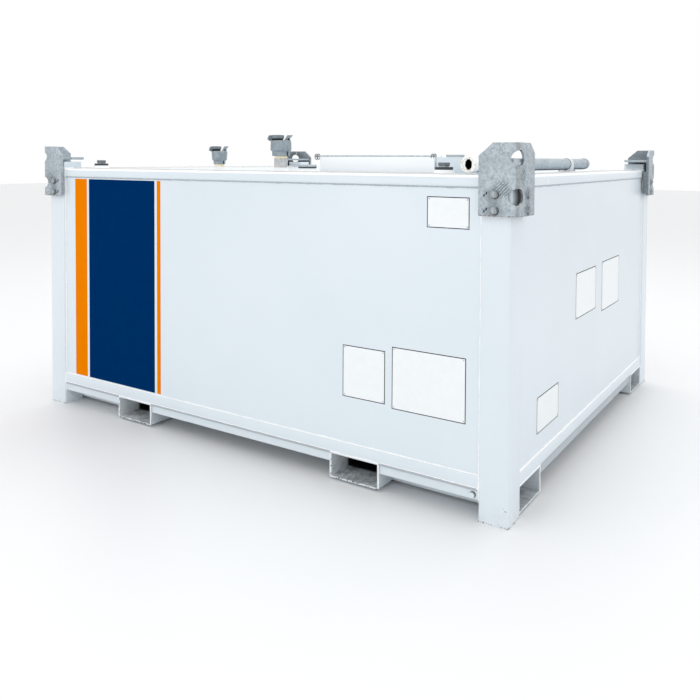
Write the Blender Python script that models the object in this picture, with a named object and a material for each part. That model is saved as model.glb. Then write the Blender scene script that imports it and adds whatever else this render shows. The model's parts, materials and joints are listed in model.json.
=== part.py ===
"""Transportable rectangular fuel tank: a steel frame with flat plate walls,
fork pockets, bolted lifting lugs and roof fittings.

Metres, +Z up. The origin is the middle of the footprint on the ground,
+X runs to the right along the front, and the front faces -Y.
"""
import math

import bmesh
import bpy
from mathutils import Matrix, Vector

# Frame
LENGTH = 2.350
WIDTH = 2.000
POST = 0.105
POST_WALL = 0.006
POST_CORNER = 0.008
POST_TOP = 1.145
POST_CAP = 0.097
POST_CAP_TOP = 1.170
FOOT_PLATE = 0.008
DRAIN_HOLE_R = 0.010
GAP = 0.0003
JOIN_DEPTH = 0.002
OVERCUT = 0.010

# Rails, sills and plates
RAIL_LOW = 1.098
RAIL_TOP = 1.138
RAIL_DEPTH = 0.050
RAIL_WALL = 0.004
RAIL_RECESS = 0.004
SILL_LOW = 0.1055
SILL_TOP = 0.150
FLANGE_LOW = 0.066
FLANGE_RECESS = 0.010
FLANGE_WALL = 0.006
PANEL_RECESS = 0.010
PANEL_WALL = 0.004
FLOOR_WALL = 0.005
ROOF_TOP = 1.134
ROOF_WALL = 0.004

# Fork pockets
POCKET_LOW = 0.0095
POCKET_TOP = SILL_LOW - GAP
POCKET_WALL = 0.006
FORK_X = 0.584
FORK_WIDTH = 0.209
SIDE_POCKET_WIDTH = 0.210

# Lifting lugs
LUG_WALL = 0.012
LUG_PROUD_X = 0.028
LUG_PROUD_Y = 0.018
LUG_LEG = 0.135
LUG_SIDE_LEG = 0.147
LUG_FOLD = 0.014
LUG_LOW = 1.008
LUG_TOP = 1.2435
LUG_CHAMFER = (0.049, 0.042)
LUG_SIDE_CHAMFER = (0.042, 0.033)
LUG_EYE_SET = 0.004
LUG_DRILL = 0.045
LUG_EYE_R = 0.0260
LUG_EYE_Z = 1.1935
LUG_EYE_SHIFT = 0.0057
LUG_LOWER_EYE_R = 0.0275
LUG_LOWER_EYE_Z = 1.0703
LUG_LOWER_EYE_SHIFT = 0.0018
SHELF_LOW = 1.1805
SHELF_TOP = 1.1925
SHELF_INSET = 0.010
PACKER_LOW = 1.014
PACKER_TOP = 1.132
PACKER_EDGE = 0.050

# Hinged caps on their necks, sizes along the neck from the ground up
CAP_TURN = math.radians(35.0)
CAP_Y = -0.700
FILL_CAP = {
    "name": "fill", "x": 0.012, "scale": 1.0, "neck_r": 0.03015, "neck_top": 1.2005,
    "collar_r": 0.0375, "collar_top": 1.2196, "body_low_r": 0.0445, "body_r": 0.0445,
    "body_top": 1.2680, "lid_low": 1.2764, "lid_top": 1.2915,
}
DIP_CAP = {
    "name": "dip", "x": -0.346, "scale": 0.80, "neck_r": 0.02415, "neck_top": 1.1630,
    "collar_r": 0.0270, "collar_top": 1.1790, "body_low_r": 0.0335, "body_r": 0.0360,
    "body_top": 1.2230, "lid_low": 1.2315, "lid_top": 1.2450,
}
NECK_WALL = 0.0035
WELD_RING_R = 0.007
WELD_RING_H = 0.009
CAP_BORE_R = 0.0185
CAP_BORE_SHIFT = -0.010
LID_R = 0.029
LID_SHIFT = -0.0155
LID_CHAMFER = 0.003
GASKET_R = 0.0265
GASKET_SHIFT = -0.0155
GASKET_GAP = 0.0005
PIVOT_SHIFT = -0.054
PIVOT_RISE = 0.0055
PIN_R = 0.003
PIN_CLEARANCE = 0.0005
KNUCKLE_R = 0.0055
KNUCKLE_HALF = 0.008
ARM_HALF = 0.0075
EAR_GAP = 0.001
EAR_WALL = 0.005
EAR_ROOT = 0.0083
EAR_DEPTH = 0.018
EAR_SINK = 0.0015
CAP_CHAMFER = 0.003
LOCK_EAR_WALL = 0.006
LOCK_EAR_SHIFT = -0.012
LOCK_EAR_FOOT = 0.008
LOCK_EAR_TOE = 0.005
LOCK_EAR_LEAN = 0.018
LOCK_EAR_SINK = 0.004

# Roof pipe
PIPE_X = 0.965
PIPE_Z = 1.172
PIPE_R = 0.02415
PIPE_WALL = 0.0032
PIPE_FRONT = -0.870
PIPE_BACK = 0.535
SOCKET_R = 0.029
SOCKET_LENGTH = 0.045
FITTING_GAP = 0.0003
END_CAP_WALL = 0.0025
END_CAP_GRIP = 0.022
END_CAP_DOME = 0.010
CLAMP_YS = (-0.560, 0.250)
CLAMP_WIDTH = 0.028
CLAMP_WALL = 0.004
CLAMP_FOOT = 0.040

# Hatch, gauge box, plugs and plate cap
HATCH_X = (0.158, 0.697)
HATCH_Y = (-0.600, -0.040)
HATCH_CURB_TOP = 1.184
HATCH_CURB_WALL = 0.006
HATCH_LID_TOP = 1.199
HATCH_LIP = 0.006
HATCH_ROD_R = 0.005
HATCH_ROD_SET = 0.006
HATCH_ROD_SINK = 0.003
HATCH_RING_R = 0.014
HATCH_RING_HALF = 0.009
HATCH_RING_XS = (0.131, 0.695)
HATCH_ROD_END = 0.012
GAUGE_X = (0.709, 0.835)
GAUGE_Y = (-0.600, -0.440)
GAUGE_TOP = 1.199
PLUG_Y = -0.850
PLUG_XS = (-0.984, 0.864)
PLUG_BOSS_R = 0.041
PLUG_NECK_R = 0.034
PLUG_BOSS_H = 0.018
PLUG_FLANGE_R = 0.0325
PLUG_FLANGE_H = 0.028
PLUG_GROOVE_R = 0.018
PLUG_GROOVE_H = 0.032
PLUG_HEAD_R = 0.0205
PLUG_HEAD_H = 0.044
PLATE_CAP_X = 0.264
PLATE_CAP_R = 0.037
PLATE_CAP_H = 0.032
DRAIN_X = 1.046
DRAIN_Z = 0.0805
DRAIN_R = 0.0100
DRAIN_STEM_R = 0.0060
DRAIN_STEM = 0.0045
DRAIN_DEPTH = 0.0090

HALF_L = LENGTH / 2.0
HALF_W = WIDTH / 2.0
INNER_X = HALF_L - POST
INNER_Y = HALF_W - POST


def clear_scene():
    for obj in list(bpy.data.objects):
        bpy.data.objects.remove(obj, do_unlink=True)


def make_material(name, colour, roughness, metallic):
    material = bpy.data.materials.new(name)
    material.use_nodes = True
    shader = material.node_tree.nodes["Principled BSDF"]
    shader.inputs["Base Color"].default_value = (*colour, 1.0)
    shader.inputs["Roughness"].default_value = roughness
    shader.inputs["Metallic"].default_value = metallic
    material.diffuse_color = (*colour, 1.0)
    return material


def finish_object(name, bm, material, location=(0.0, 0.0, 0.0)):
    bmesh.ops.recalc_face_normals(bm, faces=bm.faces[:])
    mesh = bpy.data.meshes.new(name)
    bm.to_mesh(mesh)
    bm.free()
    obj = bpy.data.objects.new(name, mesh)
    obj.location = location
    if material is not None:
        mesh.materials.append(material)
    bpy.context.scene.collection.objects.link(obj)
    return obj


def box(name, low, high, material):
    """A plain block between two corners."""
    centre = [(a + b) / 2.0 for a, b in zip(low, high)]
    size = [b - a for a, b in zip(low, high)]
    bm = bmesh.new()
    bmesh.ops.create_cube(bm, size=1.0, matrix=Matrix.Diagonal((*size, 1.0)))
    return finish_object(name, bm, material, centre)


def prism(name, outline, low, high, material, axis="Z"):
    """An outline raised along one axis; the outline lies in the other two."""
    places = {
        "Z": lambda u, v, w: (u, v, w),
        "Y": lambda u, v, w: (u, w, v),
        "X": lambda u, v, w: (w, u, v),
    }
    place = places[axis]
    bm = bmesh.new()
    corners = [bm.verts.new(place(u, v, low)) for u, v in outline]
    face = bm.faces.new(corners)
    grown = bmesh.ops.extrude_face_region(bm, geom=[face])
    moved = [item for item in grown["geom"] if isinstance(item, bmesh.types.BMVert)]
    bmesh.ops.translate(bm, vec=Vector(place(0.0, 0.0, high - low)), verts=moved)
    return finish_object(name, bm, material)


def turned(name, profile, steps, material, location, axis="Z"):
    """A profile of (radius, height) points spun into one closed solid."""
    bm = bmesh.new()
    points = [bm.verts.new((radius, 0.0, height)) for radius, height in profile]
    edges = [bm.edges.new((a, b)) for a, b in zip(points, points[1:] + points[:1])]
    bmesh.ops.spin(
        bm, geom=points + edges, cent=(0.0, 0.0, 0.0), axis=(0.0, 0.0, 1.0),
        angle=2.0 * math.pi, steps=steps, use_merge=True,
    )
    bmesh.ops.remove_doubles(bm, verts=bm.verts[:], dist=0.00001)
    loose = [edge for edge in bm.edges if not edge.link_faces]
    bmesh.ops.delete(bm, geom=loose, context="EDGES")
    if axis == "Y":
        bmesh.ops.rotate(bm, verts=bm.verts[:], matrix=Matrix.Rotation(math.radians(-90.0), 3, "X"))
    obj = finish_object(name, bm, material, location)
    obj.data.shade_smooth()
    obj.data.set_sharp_from_angle(angle=math.radians(35.0))
    return obj


def rod(name, radius, low, high, steps, material, location, axis="Z"):
    """A plain round bar or drill between two heights along its axis."""
    bm = bmesh.new()
    bmesh.ops.create_cone(
        bm, cap_ends=True, cap_tris=False, segments=steps, radius1=radius, radius2=radius,
        depth=high - low, matrix=Matrix.Translation((0.0, 0.0, (low + high) / 2.0)),
    )
    if axis == "Y":
        bmesh.ops.rotate(bm, verts=bm.verts[:], matrix=Matrix.Rotation(math.radians(-90.0), 3, "X"))
    if axis == "X":
        bmesh.ops.rotate(bm, verts=bm.verts[:], matrix=Matrix.Rotation(math.radians(90.0), 3, "Y"))
    obj = finish_object(name, bm, material, location)
    obj.data.shade_smooth()
    obj.data.set_sharp_from_angle(angle=math.radians(35.0))
    return obj


def hide_tool(obj):
    obj.hide_render = True
    obj.display_type = "WIRE"
    return obj


def combine(target, tool, operation):
    """Join or cut one solid with another, kept as a live modifier."""
    hide_tool(tool)
    tool.parent = target.parent
    modifier = target.modifiers.new(operation.title() + "_" + tool.name, "BOOLEAN")
    modifier.operation = operation
    modifier.solver = "EXACT"
    modifier.object = tool
    return target


def cut(target, tool):
    return combine(target, tool, "DIFFERENCE")


def join(target, tool):
    return combine(target, tool, "UNION")


def rectangular_tube(name, low, high, wall, axis, material):
    """A tube open at both ends along X or Y."""
    tube = box(name, low, high, material)
    inner_low = [value + wall for value in low]
    inner_high = [value - wall for value in high]
    run = "XYZ".index(axis)
    inner_low[run] = low[run] - OVERCUT
    inner_high[run] = high[run] + OVERCUT
    return cut(tube, box(name + "_bore", inner_low, inner_high, None))


def rounded_square(half, radius, segments=4):
    outline = []
    for quarter in range(4):
        turn = math.radians(90.0 * quarter)
        centre_x = (half - radius) * (1 if quarter in (0, 3) else -1)
        centre_y = (half - radius) * (1 if quarter in (0, 1) else -1)
        for step in range(segments + 1):
            angle = turn + math.radians(90.0) * step / segments
            outline.append((centre_x + radius * math.cos(angle), centre_y + radius * math.sin(angle)))
    return outline


def corner_post(name, side_x, side_y, material):
    """Square hollow post with a foot plate, a drain hole and a top plate."""
    centre_x = side_x * (HALF_L - POST / 2.0)
    centre_y = side_y * (HALF_W - POST / 2.0)
    outline = [(centre_x + u, centre_y + v) for u, v in rounded_square(POST / 2.0, POST_CORNER)]
    post = prism(name, outline, 0.0, POST_TOP, material)
    half_cap = POST_CAP / 2.0
    cap = box(
        name + "_cap", (centre_x - half_cap, centre_y - half_cap, POST_TOP - JOIN_DEPTH),
        (centre_x + half_cap, centre_y + half_cap, POST_CAP_TOP), material,
    )
    join(post, cap)
    half_bore = POST / 2.0 - POST_WALL
    bore = box(
        name + "_bore", (centre_x - half_bore, centre_y - half_bore, FOOT_PLATE),
        (centre_x + half_bore, centre_y + half_bore, POST_TOP - POST_WALL), None,
    )
    cut(post, bore)
    drain = rod(
        name + "_drain", DRAIN_HOLE_R, -OVERCUT, FOOT_PLATE + OVERCUT, 24, None,
        (centre_x, centre_y, 0.0),
    )
    return cut(post, drain)


def front_or_back_box(side_y, recess, depth, low_x, high_x, low_z, high_z):
    """Corners of a block set back from the front or the back face."""
    outer = side_y * (HALF_W - recess)
    inner = side_y * (HALF_W - recess - depth)
    return (low_x, min(outer, inner), low_z), (high_x, max(outer, inner), high_z)


def side_box(side_x, recess, depth, low_y, high_y, low_z, high_z):
    """Corners of a block set back from the left or the right face."""
    outer = side_x * (HALF_L - recess)
    inner = side_x * (HALF_L - recess - depth)
    return (min(outer, inner), low_y, low_z), (max(outer, inner), high_y, high_z)


def long_sill(name, side_y, material):
    """Bottom rail with the three lengths of flange that hang beside the fork pockets."""
    reach = INNER_X - GAP
    low, high = front_or_back_box(side_y, RAIL_RECESS, RAIL_DEPTH, -reach, reach, SILL_LOW, SILL_TOP)
    sill = rectangular_tube(name, low, high, RAIL_WALL, "X", material)
    near = FORK_X - FORK_WIDTH / 2.0 - GAP
    far = FORK_X + FORK_WIDTH / 2.0 + GAP
    for index, (start, end) in enumerate(((-reach, -far), (-near, near), (far, reach))):
        low, high = front_or_back_box(
            side_y, FLANGE_RECESS, FLANGE_WALL, start, end, FLANGE_LOW, SILL_LOW + JOIN_DEPTH,
        )
        join(sill, box(f"{name}_flange_{index}", low, high, material))
    return sill


def short_sill(name, side_x, material):
    """Bottom rail of a short side, with its flange between the side pockets."""
    reach = INNER_Y - GAP
    low, high = side_box(side_x, RAIL_RECESS, RAIL_DEPTH, -reach, reach, SILL_LOW, SILL_TOP)
    sill = rectangular_tube(name, low, high, RAIL_WALL, "Y", material)
    flange_reach = INNER_Y - GAP - SIDE_POCKET_WIDTH - GAP
    low, high = side_box(
        side_x, FLANGE_RECESS, FLANGE_WALL, -flange_reach, flange_reach, FLANGE_LOW, SILL_LOW + JOIN_DEPTH,
    )
    return join(sill, box(name + "_flange", low, high, material))


def notched_plate(name, low_z, high_z, material):
    """Floor or roof plate inside the rails, notched round the four posts."""
    outer_x = HALF_L - RAIL_RECESS - RAIL_DEPTH - GAP
    outer_y = HALF_W - RAIL_RECESS - RAIL_DEPTH - GAP
    notch_x = INNER_X - GAP
    notch_y = INNER_Y - GAP
    quarter = [(outer_x, notch_y), (notch_x, notch_y), (notch_x, outer_y)]
    mirrored = [(-x, y) for x, y in reversed(quarter)]
    half = quarter + mirrored
    outline = half + [(x, -y) for x, y in reversed(half)]
    return prism(name, outline, low_z, high_z, material)


def fork_pocket(name, centre_x, material):
    half = FORK_WIDTH / 2.0
    reach = HALF_W - RAIL_RECESS
    low = (centre_x - half, -reach, POCKET_LOW)
    high = (centre_x + half, reach, POCKET_TOP)
    return rectangular_tube(name, low, high, POCKET_WALL, "Y", material)


def side_pocket(name, side_x, side_y, material):
    """Short pocket from a side face to the fork pocket's wall."""
    inner_x = FORK_X + FORK_WIDTH / 2.0 + GAP
    outer_x = HALF_L - RAIL_RECESS
    near_post = INNER_Y - GAP
    away = near_post - SIDE_POCKET_WIDTH
    xs = sorted((side_x * inner_x, side_x * outer_x))
    ys = sorted((side_y * near_post, side_y * away))
    return rectangular_tube(
        name, (xs[0], ys[0], POCKET_LOW), (xs[1], ys[1], POCKET_TOP), POCKET_WALL, "X", material,
    )


def lug_outline():
    """Plan of the folded plate at the front right corner, fold rounded."""
    outer_x = HALF_L + LUG_PROUD_X
    outer_y = -(HALF_W + LUG_PROUD_Y)
    fold = []
    for step in range(6):
        angle = math.radians(-90.0 + 90.0 * step / 5)
        fold.append((
            outer_x - LUG_FOLD + LUG_FOLD * math.cos(angle),
            outer_y + LUG_FOLD + LUG_FOLD * math.sin(angle),
        ))
    inner_x = outer_x - LUG_WALL
    inner_y = outer_y + LUG_WALL
    tail = [
        (outer_x, outer_y + LUG_SIDE_LEG), (inner_x, outer_y + LUG_SIDE_LEG), (inner_x, inner_y),
        (outer_x - LUG_LEG, inner_y), (outer_x - LUG_LEG, outer_y),
    ]
    return fold + tail


def chamfer_outline(edge, chamfer, inward):
    """Triangle that cuts the top corner off a lug's leg; it reaches past the plate on both sides."""
    across, drop = chamfer
    slope = drop / across
    return [
        (edge - inward * OVERCUT, LUG_TOP - drop - OVERCUT * slope),
        (edge + inward * (across + OVERCUT / slope), LUG_TOP + OVERCUT),
        (edge - inward * OVERCUT, LUG_TOP + OVERCUT),
    ]


def lifting_lug(name, side_x, side_y, material):
    """Folded lifting plate with a stacking shelf, packers and two eyes through the fold."""
    flip_x = side_x
    flip_y = -side_y

    def placed(outline):
        return [(flip_x * u, flip_y * v) for u, v in outline]

    def block(part, low, high):
        xs = sorted((flip_x * low[0], flip_x * high[0]))
        ys = sorted((flip_y * low[1], flip_y * high[1]))
        return box(f"{name}_{part}", (xs[0], ys[0], low[2]), (xs[1], ys[1], high[2]), material)

    outer_x = HALF_L + LUG_PROUD_X
    outer_y = -(HALF_W + LUG_PROUD_Y)
    lug = prism(name, placed(lug_outline()), LUG_LOW, LUG_TOP, material)

    front_wedge = chamfer_outline(outer_x - LUG_LEG, LUG_CHAMFER, 1)
    cut(lug, prism(
        name + "_front_chamfer", [(flip_x * u, v) for u, v in front_wedge],
        *sorted((flip_y * (outer_y - OVERCUT), flip_y * (outer_y + LUG_WALL + OVERCUT))), None, "Y",
    ))
    side_wedge = chamfer_outline(outer_y + LUG_SIDE_LEG, LUG_SIDE_CHAMFER, -1)
    cut(lug, prism(
        name + "_side_chamfer", [(flip_y * u, v) for u, v in side_wedge],
        *sorted((flip_x * (outer_x - LUG_WALL - OVERCUT), flip_x * (outer_x + OVERCUT))), None, "X",
    ))

    turn = math.atan2(-flip_y, flip_x)
    for part, radius, height, shift in (
        ("eye", LUG_EYE_R, LUG_EYE_Z, LUG_EYE_SHIFT),
        ("lower_eye", LUG_LOWER_EYE_R, LUG_LOWER_EYE_Z, LUG_LOWER_EYE_SHIFT),
    ):
        eye_x = outer_x - LUG_EYE_SET + shift
        eye_y = outer_y + LUG_EYE_SET + shift
        drill = rod(
            f"{name}_{part}", radius, -LUG_DRILL, LUG_DRILL, 32, None,
            (flip_x * eye_x, flip_y * eye_y, height),
        )
        drill.rotation_euler = (math.radians(90.0), 0.0, turn - math.radians(90.0))
        cut(lug, drill)

    inside = LUG_WALL - JOIN_DEPTH
    join(lug, block(
        "shelf", (outer_x - LUG_LEG + SHELF_INSET, outer_y + inside, SHELF_LOW),
        (outer_x - inside, outer_y + LUG_SIDE_LEG - SHELF_INSET, SHELF_TOP),
    ))
    join(lug, block(
        "packer_front", (outer_x - LUG_LEG, outer_y + inside, PACKER_LOW),
        (HALF_L - PACKER_EDGE, -HALF_W - GAP, PACKER_TOP),
    ))
    join(lug, block(
        "packer_side", (HALF_L + GAP, -HALF_W + PACKER_EDGE, PACKER_LOW),
        (outer_x - inside, outer_y + LUG_SIDE_LEG, PACKER_TOP),
    ))
    return lug


def roof_hole(roof, cap):
    drill = rod(
        cap["name"] + "_roof_hole", cap["neck_r"] - NECK_WALL, -OVERCUT, OVERCUT, 32, None,
        (cap["x"], CAP_Y, ROOF_TOP),
    )
    cut(roof, drill)


def cap_neck(cap, material):
    """Threaded pipe nipple standing on the roof in a weld ring."""
    inner = cap["neck_r"] - NECK_WALL
    base = ROOF_TOP + GAP
    profile = [
        (inner, 0.0), (cap["neck_r"] + WELD_RING_R, 0.0),
        (cap["neck_r"] + WELD_RING_R * 0.6, WELD_RING_H * 0.7), (cap["neck_r"], WELD_RING_H),
        (cap["neck_r"], cap["neck_top"] - base), (inner, cap["neck_top"] - base),
    ]
    return turned(cap["name"] + "_neck", profile, 32, material, (cap["x"], CAP_Y, base))


def cap_frame(cap):
    """An empty at the neck's axis, turned to the cap's own direction."""
    empty = bpy.data.objects.new(cap["name"] + "_cap_frame", None)
    empty.location = (cap["x"], CAP_Y, 0.0)
    empty.rotation_euler = (0.0, 0.0, CAP_TURN)
    bpy.context.scene.collection.objects.link(empty)
    return empty


def cap_body(cap, frame, material):
    """Cast cap body with its bore, two hinge ears with their pin, and a lock ear."""
    scale = cap["scale"]
    low = cap["neck_top"] + GAP
    top = cap["body_top"]
    profile = [
        (0.0, low), (cap["collar_r"], low), (cap["collar_r"], cap["collar_top"] - CAP_CHAMFER),
        (cap["body_low_r"] - CAP_CHAMFER, cap["collar_top"]),
        (cap["body_low_r"], cap["collar_top"] + CAP_CHAMFER),
        (cap["body_r"], top - CAP_CHAMFER), (cap["body_r"] - CAP_CHAMFER, top), (0.0, top),
    ]
    body = turned(cap["name"] + "_cap_body", profile, 40, material, (0.0, 0.0, 0.0))
    body.parent = frame
    pivot_x = PIVOT_SHIFT * scale
    pivot_z = top + PIVOT_RISE
    inner_face = KNUCKLE_HALF + EAR_GAP
    ear_root = -cap["body_r"] + EAR_ROOT
    ear_top = top - EAR_SINK
    ear_outline = [
        (pivot_x - KNUCKLE_R * 0.6, top - EAR_DEPTH / 2.0), (pivot_x - KNUCKLE_R, pivot_z),
        (pivot_x - KNUCKLE_R * 0.5, pivot_z + KNUCKLE_R * 0.85),
        (pivot_x + KNUCKLE_R * 0.5, pivot_z + KNUCKLE_R * 0.85), (pivot_x + KNUCKLE_R, pivot_z),
        (pivot_x + KNUCKLE_R * 1.1, ear_top), (ear_root, ear_top), (ear_root, top - EAR_DEPTH),
    ]
    for side in (-1, 1):
        faces = sorted((side * inner_face, side * (inner_face + EAR_WALL)))
        ear = prism(f"{cap['name']}_ear_{side + 1}", ear_outline, faces[0], faces[1], material, "Y")
        join(body, ear)
    reach = inner_face + EAR_WALL / 2.0
    pin = rod(
        cap["name"] + "_pin", PIN_R, -reach, reach, 16, material,
        (pivot_x, 0.0, pivot_z), "Y",
    )
    join(body, pin)
    lock_x = cap["body_r"] + LOCK_EAR_SHIFT * scale
    lock_foot = LOCK_EAR_FOOT * scale
    lock_toe = LOCK_EAR_TOE * scale
    lock_lean = LOCK_EAR_LEAN * scale
    lock_outline = [
        (lock_x - lock_foot - lock_toe, top - LOCK_EAR_SINK),
        (lock_x + lock_foot, top - LOCK_EAR_SINK),
        (lock_x + lock_lean, cap["lid_top"]),
        (lock_x - lock_foot / 2.0 - lock_toe * 0.7, cap["lid_top"]),
    ]
    lock = prism(
        cap["name"] + "_lock_ear", lock_outline, -LOCK_EAR_WALL / 2.0, LOCK_EAR_WALL / 2.0, material, "Y",
    )
    join(body, lock)
    bore = rod(
        cap["name"] + "_cap_bore", CAP_BORE_R * scale, low - OVERCUT, top + OVERCUT, 32, None,
        (CAP_BORE_SHIFT * scale, 0.0, 0.0),
    )
    return cut(body, bore)


def cap_lid(cap, frame, material):
    """Flat cast lid with its gasket, arm and hinge knuckle; it turns on the pin."""
    scale = cap["scale"]
    top = cap["body_top"]
    pivot_x = PIVOT_SHIFT * scale
    pivot_z = top + PIVOT_RISE
    hinge = bpy.data.objects.new(cap["name"] + "_lid_hinge", None)
    hinge.parent = frame
    hinge.location = (pivot_x, 0.0, pivot_z)
    bpy.context.scene.collection.objects.link(hinge)
    low = cap["lid_low"] - pivot_z
    high = cap["lid_top"] - pivot_z
    disc = LID_R * scale
    profile = [
        (0.0, low), (disc, low), (disc, high - LID_CHAMFER), (disc - LID_CHAMFER, high), (0.0, high),
    ]
    lid = turned(
        cap["name"] + "_cap_lid", profile, 36, material, (LID_SHIFT * scale - pivot_x, 0.0, 0.0),
    )
    lid.parent = hinge
    gasket_low = top + GASKET_GAP - pivot_z
    gasket = rod(
        cap["name"] + "_gasket", GASKET_R * scale, gasket_low, low + JOIN_DEPTH, 36, material,
        (GASKET_SHIFT * scale - pivot_x, 0.0, 0.0),
    )
    join(lid, gasket)
    arm_end = LID_SHIFT * scale - pivot_x - disc * 0.6
    arm_low = low + GASKET_GAP
    arm_high = high - LID_CHAMFER - GASKET_GAP
    arm_outline = [
        (-KNUCKLE_R * 0.6, KNUCKLE_R * 0.4), (KNUCKLE_R * 0.7, arm_high), (arm_end, arm_high),
        (arm_end, arm_low), (KNUCKLE_R * 1.2, arm_low), (KNUCKLE_R * 0.6, -KNUCKLE_R * 0.4),
    ]
    arm = prism(cap["name"] + "_arm", arm_outline, -ARM_HALF, ARM_HALF, material, "Y")
    join(lid, arm)
    knuckle = rod(
        cap["name"] + "_knuckle", KNUCKLE_R, -KNUCKLE_HALF, KNUCKLE_HALF, 20, material,
        (0.0, 0.0, 0.0), "Y",
    )
    join(lid, knuckle)
    hole = rod(
        cap["name"] + "_knuckle_hole",
        PIN_R + PIN_CLEARANCE, -KNUCKLE_HALF - OVERCUT, KNUCKLE_HALF + OVERCUT, 20, None,
        (0.0, 0.0, 0.0), "Y",
    )
    return cut(lid, hole)


def roof_pipe(material):
    """Galvanised pipe open at the front, with a socket on its front end."""
    length = PIPE_BACK - PIPE_FRONT
    inner = PIPE_R - PIPE_WALL
    profile = [
        (inner, 0.0), (SOCKET_R, 0.0), (SOCKET_R, SOCKET_LENGTH), (PIPE_R, SOCKET_LENGTH),
        (PIPE_R, length), (inner, length),
    ]
    return turned("roof_pipe", profile, 32, material, (PIPE_X, PIPE_FRONT, PIPE_Z), "Y")


def pipe_end_cap(material):
    inner = PIPE_R + FITTING_GAP
    end = END_CAP_GRIP + GAP
    outer = inner + END_CAP_WALL
    profile = [
        (inner, 0.0), (outer, 0.0), (outer, end), (outer * 0.93, end + END_CAP_DOME * 0.5),
        (outer * 0.72, end + END_CAP_DOME * 0.85), (0.0, end + END_CAP_DOME), (0.0, end), (inner, end),
    ]
    return turned("pipe_end_cap", profile, 32, material, (PIPE_X, PIPE_BACK - END_CAP_GRIP, PIPE_Z), "Y")


def pipe_clamp(name, centre_y, material):
    """Saddle clamp: two feet on the roof and a band over the pipe."""
    inner = PIPE_R + FITTING_GAP
    outer = inner + CLAMP_WALL
    base = ROOF_TOP + GAP
    outline = [(PIPE_X - CLAMP_FOOT, base), (PIPE_X + CLAMP_FOOT, base)]
    outline += [(PIPE_X + CLAMP_FOOT, base + CLAMP_WALL), (PIPE_X + outer, base + CLAMP_WALL)]
    for step in range(13):
        angle = math.pi * step / 12
        outline.append((PIPE_X + outer * math.cos(angle), PIPE_Z + outer * math.sin(angle)))
    outline += [(PIPE_X - outer, base + CLAMP_WALL), (PIPE_X - CLAMP_FOOT, base + CLAMP_WALL)]
    low = centre_y - CLAMP_WIDTH / 2.0
    high = centre_y + CLAMP_WIDTH / 2.0
    clamp = prism(name, outline, low, high, material, "Y")
    drill = rod(
        name + "_bore", inner, -CLAMP_WIDTH, CLAMP_WIDTH, 32, None,
        (PIPE_X, centre_y, PIPE_Z), "Y",
    )
    return cut(clamp, drill)


def hatch_curb(material):
    low = (HATCH_X[0], HATCH_Y[0], ROOF_TOP + GAP)
    high = (HATCH_X[1], HATCH_Y[1], HATCH_CURB_TOP)
    curb = box("hatch_curb", low, high, material)
    wall = HATCH_CURB_WALL
    inner = box(
        "hatch_curb_bore", (low[0] + wall, low[1] + wall, low[2] - OVERCUT),
        (high[0] - wall, high[1] - wall, high[2] + OVERCUT), None,
    )
    return cut(curb, inner)


def hatch_lid(material):
    """Hatch lid with a rod along its front edge, held in a ring at each end."""
    lid = box(
        "hatch_lid", (HATCH_X[0] - HATCH_LIP, HATCH_Y[0] - HATCH_LIP, HATCH_CURB_TOP + GAP),
        (HATCH_X[1] + HATCH_LIP, HATCH_Y[1] + HATCH_LIP, HATCH_LID_TOP), material,
    )
    rod_z = HATCH_LID_TOP + HATCH_ROD_R - HATCH_ROD_SINK
    rod_y = HATCH_Y[0] + HATCH_ROD_SET
    bar = rod(
        "hatch_rod", HATCH_ROD_R, HATCH_RING_XS[0] - HATCH_ROD_END, HATCH_RING_XS[1] + HATCH_ROD_END, 16,
        material, (0.0, rod_y, rod_z), "X",
    )
    join(lid, bar)
    for index, centre in enumerate(HATCH_RING_XS):
        ring = rod(
            f"hatch_ring_{index}", HATCH_RING_R, -HATCH_RING_HALF, HATCH_RING_HALF, 20, material,
            (centre, rod_y, HATCH_LID_TOP), "X",
        )
        join(lid, ring)
    return lid


def roof_plug(name, centre_x, material):
    """Plug with a round drive head, screwed into a flared boss on the roof."""
    profile = [
        (0.0, 0.0), (PLUG_BOSS_R, 0.0), (PLUG_NECK_R, PLUG_BOSS_H), (PLUG_FLANGE_R, PLUG_BOSS_H),
        (PLUG_FLANGE_R, PLUG_FLANGE_H), (PLUG_GROOVE_R, PLUG_FLANGE_H), (PLUG_GROOVE_R, PLUG_GROOVE_H),
        (PLUG_HEAD_R, PLUG_GROOVE_H), (PLUG_HEAD_R, PLUG_HEAD_H), (0.0, PLUG_HEAD_H),
    ]
    return turned(name, profile, 28, material, (centre_x, PLUG_Y, ROOF_TOP + GAP))


def plate_cap(material):
    """Flat round cap without a head, on a flared boss like the plugs'."""
    profile = [
        (0.0, 0.0), (PLUG_BOSS_R, 0.0), (PLUG_NECK_R, PLUG_BOSS_H), (PLATE_CAP_R, PLUG_BOSS_H),
        (PLATE_CAP_R, PLATE_CAP_H), (0.0, PLATE_CAP_H),
    ]
    return turned("plate_cap", profile, 28, material, (PLATE_CAP_X, PLUG_Y, ROOF_TOP + GAP))


def drain_plug(material):
    """Small round plug on the front flange."""
    face = -(HALF_W - FLANGE_RECESS) - GAP
    profile = [
        (0.0, 0.0), (DRAIN_R, 0.0), (DRAIN_R, DRAIN_STEM), (DRAIN_STEM_R, DRAIN_STEM),
        (DRAIN_STEM_R, DRAIN_DEPTH), (0.0, DRAIN_DEPTH),
    ]
    return turned("drain_plug", profile, 24, material, (DRAIN_X, face - DRAIN_DEPTH, DRAIN_Z), "Y")


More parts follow.
